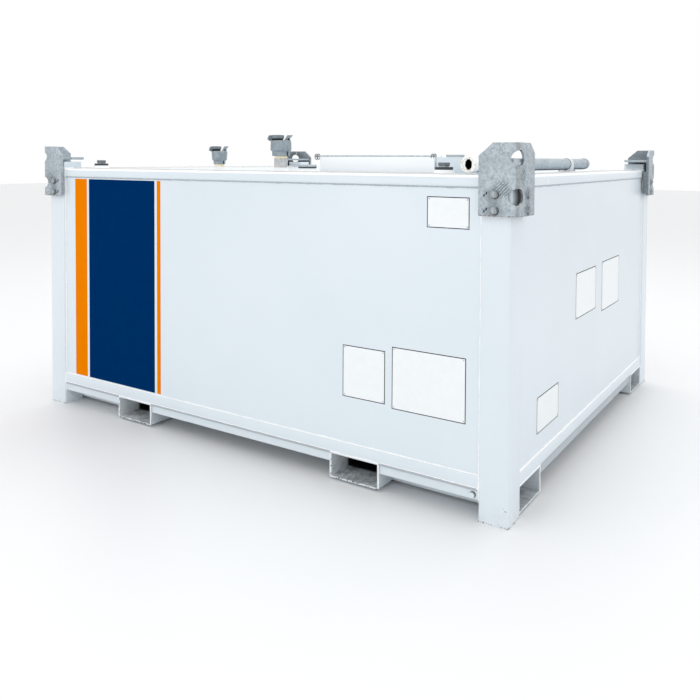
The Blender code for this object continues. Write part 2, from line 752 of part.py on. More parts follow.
def main():
    clear_scene()
    paint = make_material("white_enamel", (0.82, 0.86, 0.89), 0.35, 0.0)
    galvanised = make_material("hot_dip_zinc", (0.52, 0.56, 0.58), 0.50, 0.8)
    casting = make_material("cast_aluminium", (0.45, 0.49, 0.53), 0.45, 0.9)
    iron = make_material("dark_malleable_iron", (0.12, 0.13, 0.14), 0.60, 0.6)

    for name, side_x, side_y in (
        ("front_left", -1, -1), ("front_right", 1, -1), ("back_left", -1, 1), ("back_right", 1, 1),
    ):
        corner_post(name + "_post", side_x, side_y, paint)
        lifting_lug(name + "_lug", side_x, side_y, galvanised)
        side_pocket(name + "_side_pocket", side_x, side_y, galvanised)

    reach_x = INNER_X - GAP
    reach_y = INNER_Y - GAP
    for name, side in (("front", -1), ("back", 1)):
        rail = front_or_back_box(side, RAIL_RECESS, RAIL_DEPTH, -reach_x, reach_x, RAIL_LOW, RAIL_TOP)
        rectangular_tube(name + "_rail", *rail, RAIL_WALL, "X", paint)
        wall = front_or_back_box(
            side, PANEL_RECESS, PANEL_WALL, -reach_x, reach_x, SILL_TOP + GAP, RAIL_LOW - GAP,
        )
        box(name + "_wall", *wall, paint)
        long_sill(name + "_sill", side, paint)
    for name, side in (("left", -1), ("right", 1)):
        rail = side_box(side, RAIL_RECESS, RAIL_DEPTH, -reach_y, reach_y, RAIL_LOW, RAIL_TOP)
        rectangular_tube(name + "_rail", *rail, RAIL_WALL, "Y", paint)
        wall = side_box(side, PANEL_RECESS, PANEL_WALL, -reach_y, reach_y, SILL_TOP + GAP, RAIL_LOW - GAP)
        box(name + "_wall", *wall, paint)
        short_sill(name + "_sill", side, paint)

    notched_plate("floor_plate", SILL_LOW, SILL_LOW + FLOOR_WALL, paint)
    roof = notched_plate("roof_plate", ROOF_TOP - ROOF_WALL, ROOF_TOP, paint)
    fork_pocket("left_fork_pocket", -FORK_X, galvanised)
    fork_pocket("right_fork_pocket", FORK_X, galvanised)

    for cap in (FILL_CAP, DIP_CAP):
        roof_hole(roof, cap)
        cap_neck(cap, galvanised)
        frame = cap_frame(cap)
        cap_body(cap, frame, casting)
        cap_lid(cap, frame, casting)

    roof_pipe(galvanised)
    pipe_end_cap(galvanised)
    for index, centre_y in enumerate(CLAMP_YS):
        pipe_clamp(("front_clamp", "back_clamp")[index], centre_y, paint)
    hatch_curb(paint)
    hatch_lid(paint)
    box(
        "gauge_box", (GAUGE_X[0], GAUGE_Y[0], ROOF_TOP + GAP), (GAUGE_X[1], GAUGE_Y[1], GAUGE_TOP), paint,
    )
    plate_cap(galvanised)
    roof_plug("left_roof_plug", PLUG_XS[0], iron)
    roof_plug("right_roof_plug", PLUG_XS[1], iron)
    drain_plug(galvanised)


main()
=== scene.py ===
"""Looks of a transportable rectangular fuel tank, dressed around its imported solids.

Metres, +Z up. The front faces -Y and +X runs to the right along it.
"""
import json
import math
import random

import bmesh
import bpy
from mathutils import Matrix, Vector, noise


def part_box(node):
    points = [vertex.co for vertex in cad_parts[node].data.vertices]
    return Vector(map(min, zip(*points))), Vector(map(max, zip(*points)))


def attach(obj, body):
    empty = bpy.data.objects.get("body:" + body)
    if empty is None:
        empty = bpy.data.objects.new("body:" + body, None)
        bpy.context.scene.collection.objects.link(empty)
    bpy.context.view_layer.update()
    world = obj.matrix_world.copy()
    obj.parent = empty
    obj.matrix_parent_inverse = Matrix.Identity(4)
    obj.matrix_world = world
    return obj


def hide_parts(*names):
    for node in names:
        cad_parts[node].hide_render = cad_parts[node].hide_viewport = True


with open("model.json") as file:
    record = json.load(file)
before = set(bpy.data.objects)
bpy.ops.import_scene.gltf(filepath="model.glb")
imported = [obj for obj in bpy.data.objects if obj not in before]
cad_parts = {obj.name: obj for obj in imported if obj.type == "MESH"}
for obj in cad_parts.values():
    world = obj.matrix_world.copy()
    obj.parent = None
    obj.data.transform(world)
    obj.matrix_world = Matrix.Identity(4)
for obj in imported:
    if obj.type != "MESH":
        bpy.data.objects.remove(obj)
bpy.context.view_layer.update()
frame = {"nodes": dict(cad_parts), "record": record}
NODES = frame["nodes"]
MM = 0.001
FRAME_PX = 700.0

# Angles in degrees past which an edge stays sharp: on plate and castings, bolts, and welds
PLATE_ANGLE = 35.0
BOLT_ANGLE = 30.0
BEAD_ANGLE = 60.0

# Boxes read from the frame
FRONT_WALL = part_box("front_wall")
RIGHT_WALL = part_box("right_wall")
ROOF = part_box("roof_plate")
TOP_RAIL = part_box("front_rail")
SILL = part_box("front_sill")
RIGHT_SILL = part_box("right_sill")
NEAR_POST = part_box("front_right_post")
FORK_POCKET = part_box("right_fork_pocket")
SIDE_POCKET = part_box("front_right_side_pocket")
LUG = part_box("front_right_lug")
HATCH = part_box("hatch_curb")
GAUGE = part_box("gauge_box")
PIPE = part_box("roof_pipe")
PIPE_CENTRE = (PIPE[0] + PIPE[1]) / 2.0
RAIL_TOP_Z = TOP_RAIL[1].z
SILL_TOP_Z = SILL[1].z
SEAM_Z = FORK_POCKET[1].z
PIVOTS = {row["child"]: Vector(row["pos_m"]) for row in frame["record"]["behaviour"]["joints"]}

# Rolled sections and their welds: corner radii, and the radius of each bead
LONG_EDGE = 0.25
RAIL_ROUND = 8.0 * MM
SILL_ROUND = 2.4 * MM
RAIL_PROUD = 4.5 * MM
RAIL_SPLICE_Y = -0.640
BEAD_SIDES = 8
TOP_BEAD = 2.8 * MM
LOW_BEAD = 3.0 * MM
SIDE_LOW_BEAD = 5.0 * MM
POST_BEAD = 3.2 * MM
SPLICE_BEAD = 1.6 * MM
SEAM_BEAD = 4.6 * MM
SEAM_WELD = 1.5 * MM
ROOF_BEAD = 1.9 * MM
ROOF_BEAD_RISE = 2.5 * MM
BACK_ROOF_BEAD = 1.4 * MM

# Lifting lugs: plate, legs, and how far in and down from its top corner each bolt stands
LUG_WALL = 12.0 * MM
LUG_LEG = 0.135
LUG_SIDE_LEG = 0.147
LUG_BOLT_DROPS = (0.1655, 0.2165)
LUG_BOLT_IN = (0.080, 0.085)
PUNCH_IN = 0.110
EYE_REACH = 0.035

# The same places as points of one quarter, X and Y counted outwards: bolts, and brush strokes
LUG_CORNER = Vector((LUG[1].x, -LUG[0].y, LUG[1].z))
LUG_BOLTS = [
    LUG_CORNER - Vector(step) for drop in LUG_BOLT_DROPS
    for step in ((LUG_BOLT_IN[0], 0.0, drop), (0.0, LUG_BOLT_IN[1], drop))
]
LUG_STROKES = [LUG_CORNER - Vector(step) for step in ((0.052, 0.0, 0.146), (0.0, 0.040, 0.100))]

# A lug bolt from the face outwards, in mm: start, end, radius, sides and end radius of its
# washer, hexagon head, the head's chamfer and the thread's end
BOLT_STEPS = (
    (0.0, 2.2, 12.3, 32, 11.8), (2.2, 7.6, 10.9, 6, 10.9), (7.6, 9.1, 10.9, 6, 7.6),
    (9.1, 11.4, 5.2, 20, 4.4),
)

# Pockets: wall, and the axis each runs along with its mouth and how far light reaches into it
POCKET_WALL = 6.0 * MM
POCKET_EDGE = 0.20
POCKET_RUNS = {1: (FORK_POCKET[1].y, 0.105), 0: (SIDE_POCKET[1].x, 0.600)}

# Hatch: lid, the rings on its rod, and its strap hinges
HATCH_TOP = 1.199
HATCH_LIP = 6.0 * MM
HATCH_HOLLOW = 0.046
HATCH_RING_XS = (0.131, 0.695)
HINGE_IN = 0.100
HINGE_LENGTH = 0.060

# Hinged caps: sizes of each casting, and how far it is turned from the tank's length
CAP_TURN = math.radians(35.0)
SLIT_TURN = math.radians(-5.0)
PIVOT_RISE = 5.5 * MM
EAR_R = 4.3 * MM
KNUCKLE_R = 4.7 * MM
TAPE_LENGTH = 9.5 * MM
CAPS = {
    "fill": {
        "scale": 1.0, "neck_r": 0.0292, "collar_r": 0.0382, "collar_top": 1.2196,
        "foot": 0.0172, "low_r": 0.0455, "body_r": 0.0445, "lid_low": 1.2764,
        "lid_top": 1.2915, "lid_r": 0.0284, "lid_shift": -0.0150,
    },
    "dip": {
        "scale": 0.8, "neck_r": 0.0240, "collar_r": 0.0268, "collar_top": 1.1770,
        "foot": 0.0135, "low_r": 0.0335, "body_r": 0.0360, "lid_low": 1.2320,
        "lid_top": 1.2450, "lid_r": 0.0222, "lid_shift": -0.0138,
    },
}

# Roof pipe: tube, the threaded socket in front of it, and the black strip under it as a painted
# shadow
PIPE_R = 24.15 * MM
PIPE_BORE = 20.95 * MM
BORE_SEEN = 16.0 * MM
SOCKET_R = 29.0 * MM
SOCKET_LENGTH = 45.0 * MM
TUBE_START = 16.0 * MM
STRIP_HALF = 7.0 * MM
STRIP_YS = (-0.822, 0.505)

# A clamp's screw from the foot upwards, in mm, as a lug bolt is given: washer, then head
SCREW_STEPS = ((4.0, 5.2, 6.0, 20, 6.0), (5.0, 10.0, 4.6, 6, 4.2))

# Livery: inset of the first band, then start and width of the stripes and of the broad band
LIVERY_INSET = 0.070
STRIPES = ((0.0, 0.085), (0.555, 0.022))
BAND = (0.100, 0.440)

# Blank placards: axis and side of the wall, then extents along the wall and in height
PLATE_EDGE = 3.0 * MM
RIVET_IN = 8.0 * MM
PLACARDS = (
    (1, -1, (0.870, 1.026), (0.958, 1.064)), (1, -1, (0.530, 0.709), (0.320, 0.510)),
    (1, -1, (0.737, 1.019), (0.310, 0.530)), (0, 1, (-0.260, 0.030), (0.550, 0.735)),
    (0, 1, (0.130, 0.430), (0.520, 0.740)), (0, 1, (-0.710, -0.470), (0.220, 0.350)),
)


def linear(hex_colour):
    """An sRGB hex colour as linear RGBA."""
    channels = [int(hex_colour[start:start + 2], 16) / 255.0 for start in (1, 3, 5)]
    values = [c / 12.92 if c <= 0.04045 else ((c + 0.055) / 1.055) ** 2.4 for c in channels]
    return (*values, 1.0)


def feed(tree, node, inputs):
    """Fills or links a node's inputs."""
    for key, value in inputs.items():
        socket = node.inputs[key]
        if isinstance(value, bpy.types.NodeSocket):
            tree.links.new(value, socket)
        else:
            socket.default_value = value


def add(tree, kind, inputs, out=0, **settings):
    """Adds one node with its settings and links, and gives one of its outputs."""
    made = tree.nodes.new(kind)
    for key, value in settings.items():
        setattr(made, key, value)
    feed(tree, made, inputs)
    return made.outputs[out]


def new_material(name):
    """An empty material with its shader and the object's own coordinates."""
    material = bpy.data.materials.new(name)
    material.use_nodes = True
    tree = material.node_tree
    shader = tree.nodes["Principled BSDF"]
    return material, tree, shader, add(tree, "ShaderNodeTexCoord", {}, out="Object")


def white_enamel():
    """Two-pack enamel sprayed on plate: faint orange peel, slight waves, a little dust low down."""
    material, tree, shader, place = new_material("white_enamel")
    clouds = add(
        tree, "ShaderNodeTexNoise", {"Vector": place, "Scale": 1 / (450 * MM), "Detail": 3.0},
    )
    base = add(
        tree, "ShaderNodeMix", {"Factor": clouds, 6: linear("#D3DDE4"), 7: linear("#DCE5EB")},
        out=2, data_type="RGBA",
    )
    height = add(tree, "ShaderNodeSeparateXYZ", {"Vector": place}, out="Z")
    low = add(
        tree, "ShaderNodeMapRange", {"Value": height, "From Min": 90 * MM, "From Max": 0.0},
    )
    flecks = add(
        tree, "ShaderNodeTexNoise",
        {"Vector": place, "Scale": 1 / (35 * MM), "Detail": 6.0, "Roughness": 0.7},
    )
    dusty = add(
        tree, "ShaderNodeMapRange",
        {"Value": flecks, "From Min": 0.48, "From Max": 0.75, "To Max": 0.45},
    )
    dust = add(tree, "ShaderNodeMath", {0: low, 1: dusty}, operation="MULTIPLY")
    colour = add(
        tree, "ShaderNodeMix", {"Factor": dust, 6: base, 7: linear("#B4B3AE")},
        out=2, data_type="RGBA",
    )
    gloss = add(tree, "ShaderNodeMapRange", {"Value": flecks, "To Min": 0.26, "To Max": 0.40})
    peel = add(
        tree, "ShaderNodeTexNoise", {"Vector": place, "Scale": 1 / (4 * MM), "Detail": 1.0},
    )
    waves = add(
        tree, "ShaderNodeTexNoise", {"Vector": place, "Scale": 1 / (300 * MM), "Detail": 1.0},
    )
    fine = add(tree, "ShaderNodeBump", {"Height": peel, "Strength": 0.10, "Distance": 0.2 * MM})
    broad = add(
        tree, "ShaderNodeBump",
        {"Height": waves, "Strength": 0.35, "Distance": 3.0 * MM, "Normal": fine},
    )
    feed(tree, shader, {
        "Base Color": colour, "Roughness": gloss, "Normal": broad,
        "Coat Weight": 0.25, "Coat Roughness": 0.15,
    })
    return material


def hot_dip_zinc(name, dark, light, stain, rubbed=(), stroked=()):
    """Hot-dip galvanised plate: soft grey spangle 7 mm across, slanting brush marks, dull runs.

    It is darker round the rubbed spots, and in slanting strokes at the stroked ones.
    """
    material, tree, shader, place = new_material(name)
    bend = add(
        tree, "ShaderNodeTexNoise", {"Vector": place, "Scale": 1 / (20 * MM), "Detail": 2.0},
        out="Color",
    )
    offset = add(tree, "ShaderNodeVectorMath", {0: bend, "Scale": 6 * MM}, operation="SCALE")
    bent = add(tree, "ShaderNodeVectorMath", {0: place, 1: offset}, operation="ADD")
    spangle = add(
        tree, "ShaderNodeTexVoronoi", {"Vector": bent, "Scale": 1 / (7 * MM), "Randomness": 1.0},
        out="Color",
    )
    grain = add(tree, "ShaderNodeSeparateColor", {"Color": spangle}, out="Red")
    slant = add(
        tree, "ShaderNodeMapping",
        {"Vector": place, "Rotation": (math.radians(-35.3), math.radians(45.0), 0.0),
         "Scale": (1.0, 1.0, 10.0)},
        vector_type="TEXTURE",
    )
    brushed = add(
        tree, "ShaderNodeTexNoise",
        {"Vector": slant, "Scale": 1 / (4 * MM), "Detail": 4.0, "Roughness": 0.6},
    )
    mottle = add(tree, "ShaderNodeMix", {0: 0.60, 2: grain, 3: brushed}, data_type="FLOAT")
    tone = add(tree, "ShaderNodeMapRange", {"Value": mottle, "From Min": 0.22, "From Max": 0.72})
    base = add(
        tree, "ShaderNodeMix", {"Factor": tone, 6: linear(dark), 7: linear(light)},
        out=2, data_type="RGBA",
    )
    leaning = add(tree, "ShaderNodeMapping", {"Vector": place, "Scale": (1.0, 1.0, -1.0)})
    # A wave comes every 11 mm at this scale: coarser than bristles, so that it shows
    strokes = add(
        tree, "ShaderNodeTexWave",
        {"Vector": leaning, "Scale": 55.0, "Distortion": 5.0, "Detail": 3.0, "Detail Scale": 1.2},
        out="Fac", bands_direction="DIAGONAL",
    )
    stains = add(
        tree, "ShaderNodeTexNoise",
        {"Vector": place, "Scale": 1 / (50 * MM), "Detail": 6.0, "Roughness": 0.65},
    )
    dulled = add(
        tree, "ShaderNodeMapRange",
        {"Value": stains, "From Min": 0.50, "From Max": 0.78, "To Max": 0.45},
    )
    colour = add(
        tree, "ShaderNodeMix", {"Factor": dulled, 6: base, 7: linear(stain)},
        out=2, data_type="RGBA",
    )
    quarter = add(tree, "ShaderNodeVectorMath", {0: bent}, operation="ABSOLUTE")
    spots = [(spot, brushed) for spot in rubbed] + [(spot, strokes) for spot in stroked]
    for spot, texture in spots:
        away = add(
            tree, "ShaderNodeVectorMath", {0: quarter, 1: spot}, out="Value", operation="DISTANCE",
        )
        halo = add(
            tree, "ShaderNodeMapRange",
            {"Value": away, "From Min": 36 * MM, "From Max": 18 * MM, "To Max": 0.90},
        )
        patchy = add(tree, "ShaderNodeMath", {0: halo, 1: texture}, operation="MULTIPLY")
        colour = add(
            tree, "ShaderNodeMix", {"Factor": patchy, 6: colour, 7: linear("#5E676D")},
            out=2, data_type="RGBA",
        )
    rough = add(tree, "ShaderNodeMapRange", {"Value": tone, "To Min": 0.58, "To Max": 0.40})
    brush_bump = add(
        tree, "ShaderNodeBump", {"Height": brushed, "Strength": 0.35, "Distance": 0.25 * MM},
    )
    bump = add(
        tree, "ShaderNodeBump",
        {"Height": stains, "Strength": 0.30, "Distance": 0.8 * MM, "Normal": brush_bump},
    )
    feed(tree, shader, {
        "Base Color": colour, "Metallic": 0.45, "Roughness": rough, "Normal": bump,
    })
    return material


def cast_aluminium(name, dark, light):
    """Sand-cast aluminium: dull grey, pitted skin about 1.8 mm in grain."""
    material, tree, shader, place = new_material(name)
    pits = add(
        tree, "ShaderNodeTexNoise", {"Vector": place, "Scale": 1 / (1.8 * MM), "Detail": 3.0},
    )
    patches = add(
        tree, "ShaderNodeTexNoise", {"Vector": place, "Scale": 1 / (15 * MM), "Detail": 4.0},
    )
    colour = add(
        tree, "ShaderNodeMix", {"Factor": patches, 6: linear(dark), 7: linear(light)},
        out=2, data_type="RGBA",
    )
    rough = add(tree, "ShaderNodeMapRange", {"Value": pits, "To Min": 0.40, "To Max": 0.62})
    bump = add(tree, "ShaderNodeBump", {"Height": pits, "Strength": 0.5, "Distance": 0.4 * MM})
    feed(tree, shader, {
        "Base Color": colour, "Metallic": 0.6, "Roughness": rough, "Normal": bump,
    })
    return material


def plain_finish(name, dark, light, grain_mm, metallic, roughness, depth_mm):
    """A fine-grained finish between two near colours."""
    material, tree, shader, place = new_material(name)
    grain = add(
        tree, "ShaderNodeTexNoise",
        {"Vector": place, "Scale": 1 / (grain_mm * MM), "Detail": 4.0},
    )
    colour = add(
        tree, "ShaderNodeMix", {"Factor": grain, 6: linear(dark), 7: linear(light)},
        out=2, data_type="RGBA",
    )
    rough = add(
        tree, "ShaderNodeMapRange",
        {"Value": grain, "To Min": roughness - 0.06, "To Max": roughness + 0.06},
    )
    bump = add(
        tree, "ShaderNodeBump", {"Height": grain, "Strength": 0.4, "Distance": depth_mm * MM},
    )
    feed(tree, shader, {
        "Base Color": colour, "Metallic": metallic, "Roughness": rough, "Normal": bump,
    })
    return material


def pocket_inside(name, run, dark, light, scratch):
    """Bare pocket steel: scratches drawn along it by tines near the mouth, painted shade going
    black deeper in.
    """
    mouth, lit_depth = POCKET_RUNS[run]
    material, tree, shader, place = new_material(name)
    stretch = [1.0, 1.0, 1.0]
    stretch[run] = 0.16
    pulled = add(tree, "ShaderNodeMapping", {"Vector": place, "Scale": stretch})
    drags = add(
        tree, "ShaderNodeTexNoise",
        {"Vector": pulled, "Scale": 1 / (10 * MM), "Detail": 6.0, "Roughness": 0.75,
         "Distortion": 1.4},
    )
    marks = add(tree, "ShaderNodeMapRange", {"Value": drags, "From Min": 0.46, "From Max": 0.70})
    patches = add(
        tree, "ShaderNodeTexNoise", {"Vector": place, "Scale": 1 / (40 * MM), "Detail": 5.0},
    )
    spots = add(
        tree, "ShaderNodeMapRange", {"Value": patches, "From Min": 0.32, "From Max": 0.62},
    )
    base = add(
        tree, "ShaderNodeMix", {"Factor": spots, 6: linear(dark), 7: linear(light)},
        out=2, data_type="RGBA",
    )
    worn = add(
        tree, "ShaderNodeMix", {"Factor": marks, 6: base, 7: linear(scratch)},
        out=2, data_type="RGBA",
    )
    along = add(tree, "ShaderNodeSeparateXYZ", {"Vector": place}, out="XYZ"[run])
    from_middle = add(tree, "ShaderNodeMath", {0: along}, operation="ABSOLUTE")
    # Past the lit depth the colour fades to near black: painted shade deep in the pocket
    lit = add(
        tree, "ShaderNodeMapRange",
        {"Value": from_middle, "From Min": mouth - lit_depth - 0.015,
         "From Max": mouth - lit_depth},
    )
    colour = add(
        tree, "ShaderNodeMix", {"Factor": lit, 6: linear("#0B0C0E"), 7: worn},
        out=2, data_type="RGBA",
    )
    rough = add(tree, "ShaderNodeMapRange", {"Value": marks, "To Min": 0.70, "To Max": 0.45})
    bump = add(tree, "ShaderNodeBump", {"Height": drags, "Strength": 0.6, "Distance": 1.2 * MM})
    feed(tree, shader, {
        "Base Color": colour, "Metallic": 0.25, "Roughness": rough, "Normal": bump,
    })
    return material


# Enamel: sprayed on plate; a whiter, glossier copy of it is a painted highlight on welds and bright
# white parts, grey, duller copies are painted shade in the seam under a top rail and on a side
# flange, and it is chalky along the roof
ENAMEL = white_enamel()
HIGHLIGHT_ENAMEL = plain_finish("enamel_painted_bright_as_highlight", "#F2F5F7", "#FDFDFE", 6.0, 0.0, 0.24, 0.4)
SHADED_SEAM_ENAMEL = plain_finish("enamel_painted_shade_in_seam", "#939DA5", "#B6C0C7", 14.0, 0.0, 0.45, 0.3)
SHADED_FLANGE_ENAMEL = plain_finish("enamel_painted_shade_on_flange", "#AEB8BF", "#BEC7CD", 60.0, 0.0, 0.45, 0.2)
ROOF_SEAM = plain_finish("chalky_roof_seam", "#D3D0CB", "#E6E4E0", 12.0, 0.0, 0.55, 0.3)
SEALANT_AND_SEAM_SHADE = plain_finish("grey_sealant_and_seam_shade", "#A0A7AC", "#B7BEC3", 8.0, 0.0, 0.60, 0.3)

# Zinc: darker and warmer on the fold, darker inside the back lugs and under an eye's crown, all
# painted shade; a painted highlight on an eye's floor; warmer on the neck
ZINC = hot_dip_zinc("hot_dip_zinc", "#96A1A9", "#B7C1C7", "#7F8A91", LUG_BOLTS, LUG_STROKES)
SHADED_INNER_ZINC = hot_dip_zinc("zinc_painted_shade_inside_lug", "#6F787E", "#8D969C", "#5B6369")
SHADED_FOLD_ZINC = hot_dip_zinc("hot_dip_zinc_painted_shade_on_fold", "#8D9498", "#ABB1B4", "#817E7C")
PIPE_ZINC = hot_dip_zinc("hot_dip_zinc_on_pipe", "#A0ACB3", "#BDC7CD", "#87929A")
NECK_ZINC = hot_dip_zinc("weathered_zinc_on_neck", "#B0B1B2", "#CFD0D0", "#A09E9C")
PAINTED_LIT_EYE_ZINC = plain_finish("zinc_painted_lit_on_eye_floor", "#DDE3E7", "#F4F7F9", 4.0, 0.1, 0.35, 0.2)
PAINTED_SHADE_EYE_ZINC = plain_finish("zinc_painted_shade_under_eye_crown", "#3E454A", "#5F676D", 4.0, 0.2, 0.55, 0.2)

# Pockets: floors scuffed to bare steel, walls of enamel darkened as painted shade, both fading to
# painted black shade deeper in
FORK_FLOOR = pocket_inside("tine_scuffed_floor_shaded_deep", 1, "#80868B", "#C2C8CC", "#F4F6F8")
FORK_WALLS = pocket_inside("enamel_painted_shade_in_fork_pocket", 1, "#CBD2D7", "#DDE3E7", "#EEF1F3")
SIDE_FLOOR = pocket_inside("tine_scuffed_side_floor_shaded_deep", 0, "#92989C", "#B5BCC1", "#DCE1E4")
SIDE_WALLS = pocket_inside("enamel_painted_shade_in_side_pocket", 0, "#C2CAD0", "#D3DADF", "#E0E5E9")

# Castings, iron and steel: matt and dark, but bolts and worn heads catch the light
CASTING = cast_aluminium("cast_aluminium", "#78838B", "#AAB5BC")
LID_CASTING = cast_aluminium("cast_aluminium_lid", "#5F6971", "#8A949C")
IRON = plain_finish("dark_malleable_iron", "#32373B", "#4C5257", 3.0, 0.3, 0.55, 0.3)
WORN_IRON = plain_finish("worn_malleable_iron", "#63696D", "#858B8F", 2.5, 0.3, 0.50, 0.3)
PACKER = plain_finish("oiled_packer_steel", "#57534F", "#7B7671", 6.0, 0.1, 0.60, 0.3)
FASTENER = plain_finish("zinc_plated_bolt", "#596167", "#CCD3D7", 5.0, 0.6, 0.36, 0.3)
RUST = plain_finish("surface_rust", "#6E625B", "#9C9793", 3.0, 0.0, 0.85, 0.4)

# Rubber is nearly black and matt; thread tape is yellow where wound, paler and fluffy where torn
RUBBER = plain_finish("nitrile_gasket", "#0B0C0D", "#1A1B1D", 2.0, 0.0, 0.70, 0.1)
TAPE = plain_finish("thread_seal_tape", "#FBE3A0", "#FFFDF0", 2.2, 0.0, 0.55, 0.5)
TAPE_CRUMBS = plain_finish("frayed_thread_tape", "#E9A94E", "#FBE3AE", 1.6, 0.0, 0.60, 0.5)
FRAYED_TAPE = plain_finish("loose_thread_tape", "#F3F0E6", "#FFFFFC", 3.0, 0.0, 0.55, 0.6)

# Vinyl film: even and flat, with no highlight of its own on the coloured ones
NAVY = plain_finish("navy_vinyl_film", "#00295B", "#002F61", 40.0, 0.0, 0.50, 0.05)
ORANGE = plain_finish("orange_vinyl_film", "#E37900", "#E97F00", 40.0, 0.0, 0.45, 0.05)
CHARCOAL = plain_finish("charcoal_film", "#1C1E21", "#26292C", 30.0, 0.0, 0.35, 0.05)
PLACARD = plain_finish("placard_film", "#E6EAED", "#EEF2F4", 30.0, 0.0, 0.35, 0.05)
for vinyl in (NAVY, ORANGE, CHARCOAL):
    shader = vinyl.node_tree.nodes["Principled BSDF"]
    shader.inputs["Specular IOR Level"].default_value = 0.0

SLOT_LOOKS = {
    "white_enamel": ENAMEL, "hot_dip_zinc": ZINC, "cast_aluminium": CASTING, "dark_iron": IRON,
}


def dress_frame():
    """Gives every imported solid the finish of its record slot."""
    for row in frame["record"]["subparts"]:
        obj = NODES[row["node"]]
        look = SLOT_LOOKS[row["material_slot"]]
        if not obj.material_slots:
            obj.data.materials.append(look)
        for slot in obj.material_slots:
            slot.material = look


def finish_piece(name, bm, looks, body="tank", smooth=PLATE_ANGLE, stands_for=None):
    """Makes the mesh an object that rides on a body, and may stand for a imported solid."""
    bmesh.ops.recalc_face_normals(bm, faces=bm.faces[:])
    mesh = bpy.data.meshes.new(name)
    bm.to_mesh(mesh)
    bm.free()
    for look in looks if isinstance(looks, list) else [looks]:
        mesh.materials.append(look)
    if smooth:
        mesh.shade_smooth()
        mesh.set_sharp_from_angle(angle=math.radians(smooth))
    obj = bpy.data.objects.new(name, mesh)
    bpy.context.scene.collection.objects.link(obj)
    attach(obj, body)
    if stands_for:
        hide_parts(stands_for)


def mm(*pairs):
    """Points given in millimetres, in metres."""
    return [(first * MM, second * MM) for first, second in pairs]


def arc(centre, radius, degrees):
    """Points round a centre at the given angles."""
    turns = [math.radians(angle) for angle in degrees]
    return [
        (centre[0] + radius * math.cos(turn), centre[1] + radius * math.sin(turn))
        for turn in turns
    ]


def block(bm, low, high, bevel=0.0, segments=2):
    """Adds a block between two corners, with its edges rounded."""
    low, high = [Vector(corner) for corner in zip(*[sorted(pair) for pair in zip(low, high)])]
    size = Matrix.Diagonal((*(high - low), 1.0))
    made = bmesh.ops.create_cube(
        bm, size=1.0, matrix=Matrix.Translation((high + low) / 2.0) @ size,
    )
    if bevel:
        edges = list(dict.fromkeys(edge for vert in made["verts"] for edge in vert.link_edges))
        bmesh.ops.bevel(
            bm, geom=edges, offset=bevel, segments=segments, profile=0.5, affect="EDGES",
            material=-1,
        )


def bar(bm, start, end, radius, sides=12, tip=None):
    """Adds a round bar between two points, tapered when a tip radius is given."""
    start = Vector(start)
    run = Vector(end) - start
    turn = run.to_track_quat("Z", "Y").to_matrix().to_4x4()
    bmesh.ops.create_cone(
        bm, cap_ends=True, cap_tris=False, segments=sides, radius1=radius,
        radius2=radius if tip is None else tip, depth=run.length,
        matrix=Matrix.Translation(start + run / 2.0) @ turn,
    )


def turned(bm, profile, centre, steps=40, axis="Z"):
    """Spins a closed profile of (radius, height) points round an axis through a point."""
    verts = [bm.verts.new((radius, 0.0, height)) for radius, height in profile]
    edges = [bm.edges.new(pair) for pair in zip(verts, verts[1:] + verts[:1])]
    before = set(bm.verts) - set(verts)
    bmesh.ops.spin(
        bm, geom=verts + edges, cent=(0.0, 0.0, 0.0), axis=(0.0, 0.0, 1.0),
        angle=2.0 * math.pi, steps=steps, use_merge=True,
    )
    made = [vert for vert in bm.verts if vert not in before]
    poles = [vert for vert in made if vert.co.xy.length < 1e-7]
    bmesh.ops.remove_doubles(bm, verts=poles, dist=1e-7)
    made = [vert for vert in made if vert.is_valid]
    if axis == "Y":
        bmesh.ops.rotate(bm, verts=made, matrix=Matrix.Rotation(math.radians(-90.0), 3, "X"))
    if axis == "X":
        bmesh.ops.rotate(bm, verts=made, matrix=Matrix.Rotation(math.radians(90.0), 3, "Y"))
    bmesh.ops.translate(bm, verts=made, vec=Vector(centre))
    return made


def ring(bm, centre, axis, middle_r, wire_r, steps, sides):
    """Adds a round ring of round wire."""
    profile = []
    for step in range(sides):
        angle = 2.0 * math.pi * step / sides
        profile.append((middle_r + wire_r * math.cos(angle), wire_r * math.sin(angle)))
    return turned(bm, profile, centre, steps, axis)


def plate(bm, outline, start, end, hole=None, bevel=0.0):
    """Adds a plate cut to an outline of (x, z) points, from one y to another.

    A hole is its x, its z and its radius.
    """
    loops = [outline]
    if hole:
        loops.append(arc(hole[:2], hole[2], range(0, 360, 18)))
    before = set(bm.verts)
    edges = []
    for loop in loops:
        verts = [bm.verts.new((u, start, v)) for u, v in loop]
        edges += [bm.edges.new(pair) for pair in zip(verts, verts[1:] + verts[:1])]
    filled = bmesh.ops.triangle_fill(bm, edges=edges, use_beauty=True, use_dissolve=False)["geom"]
    faces = [item for item in filled if isinstance(item, bmesh.types.BMFace)]
    grown = bmesh.ops.extrude_face_region(bm, geom=faces)["geom"]
    moved = [item for item in grown if isinstance(item, bmesh.types.BMVert)]
    bmesh.ops.translate(bm, verts=moved, vec=(0.0, end - start, 0.0))
    if bevel:
        bm.normal_update()
        corners = [
            edge for edge in bm.edges
            if edge.verts[0] not in before and edge.calc_face_angle(0.0) > math.radians(50.0)
        ]
        bmesh.ops.bevel(
            bm, geom=corners, offset=bevel, segments=2, profile=0.5, affect="EDGES", material=-1,
        )


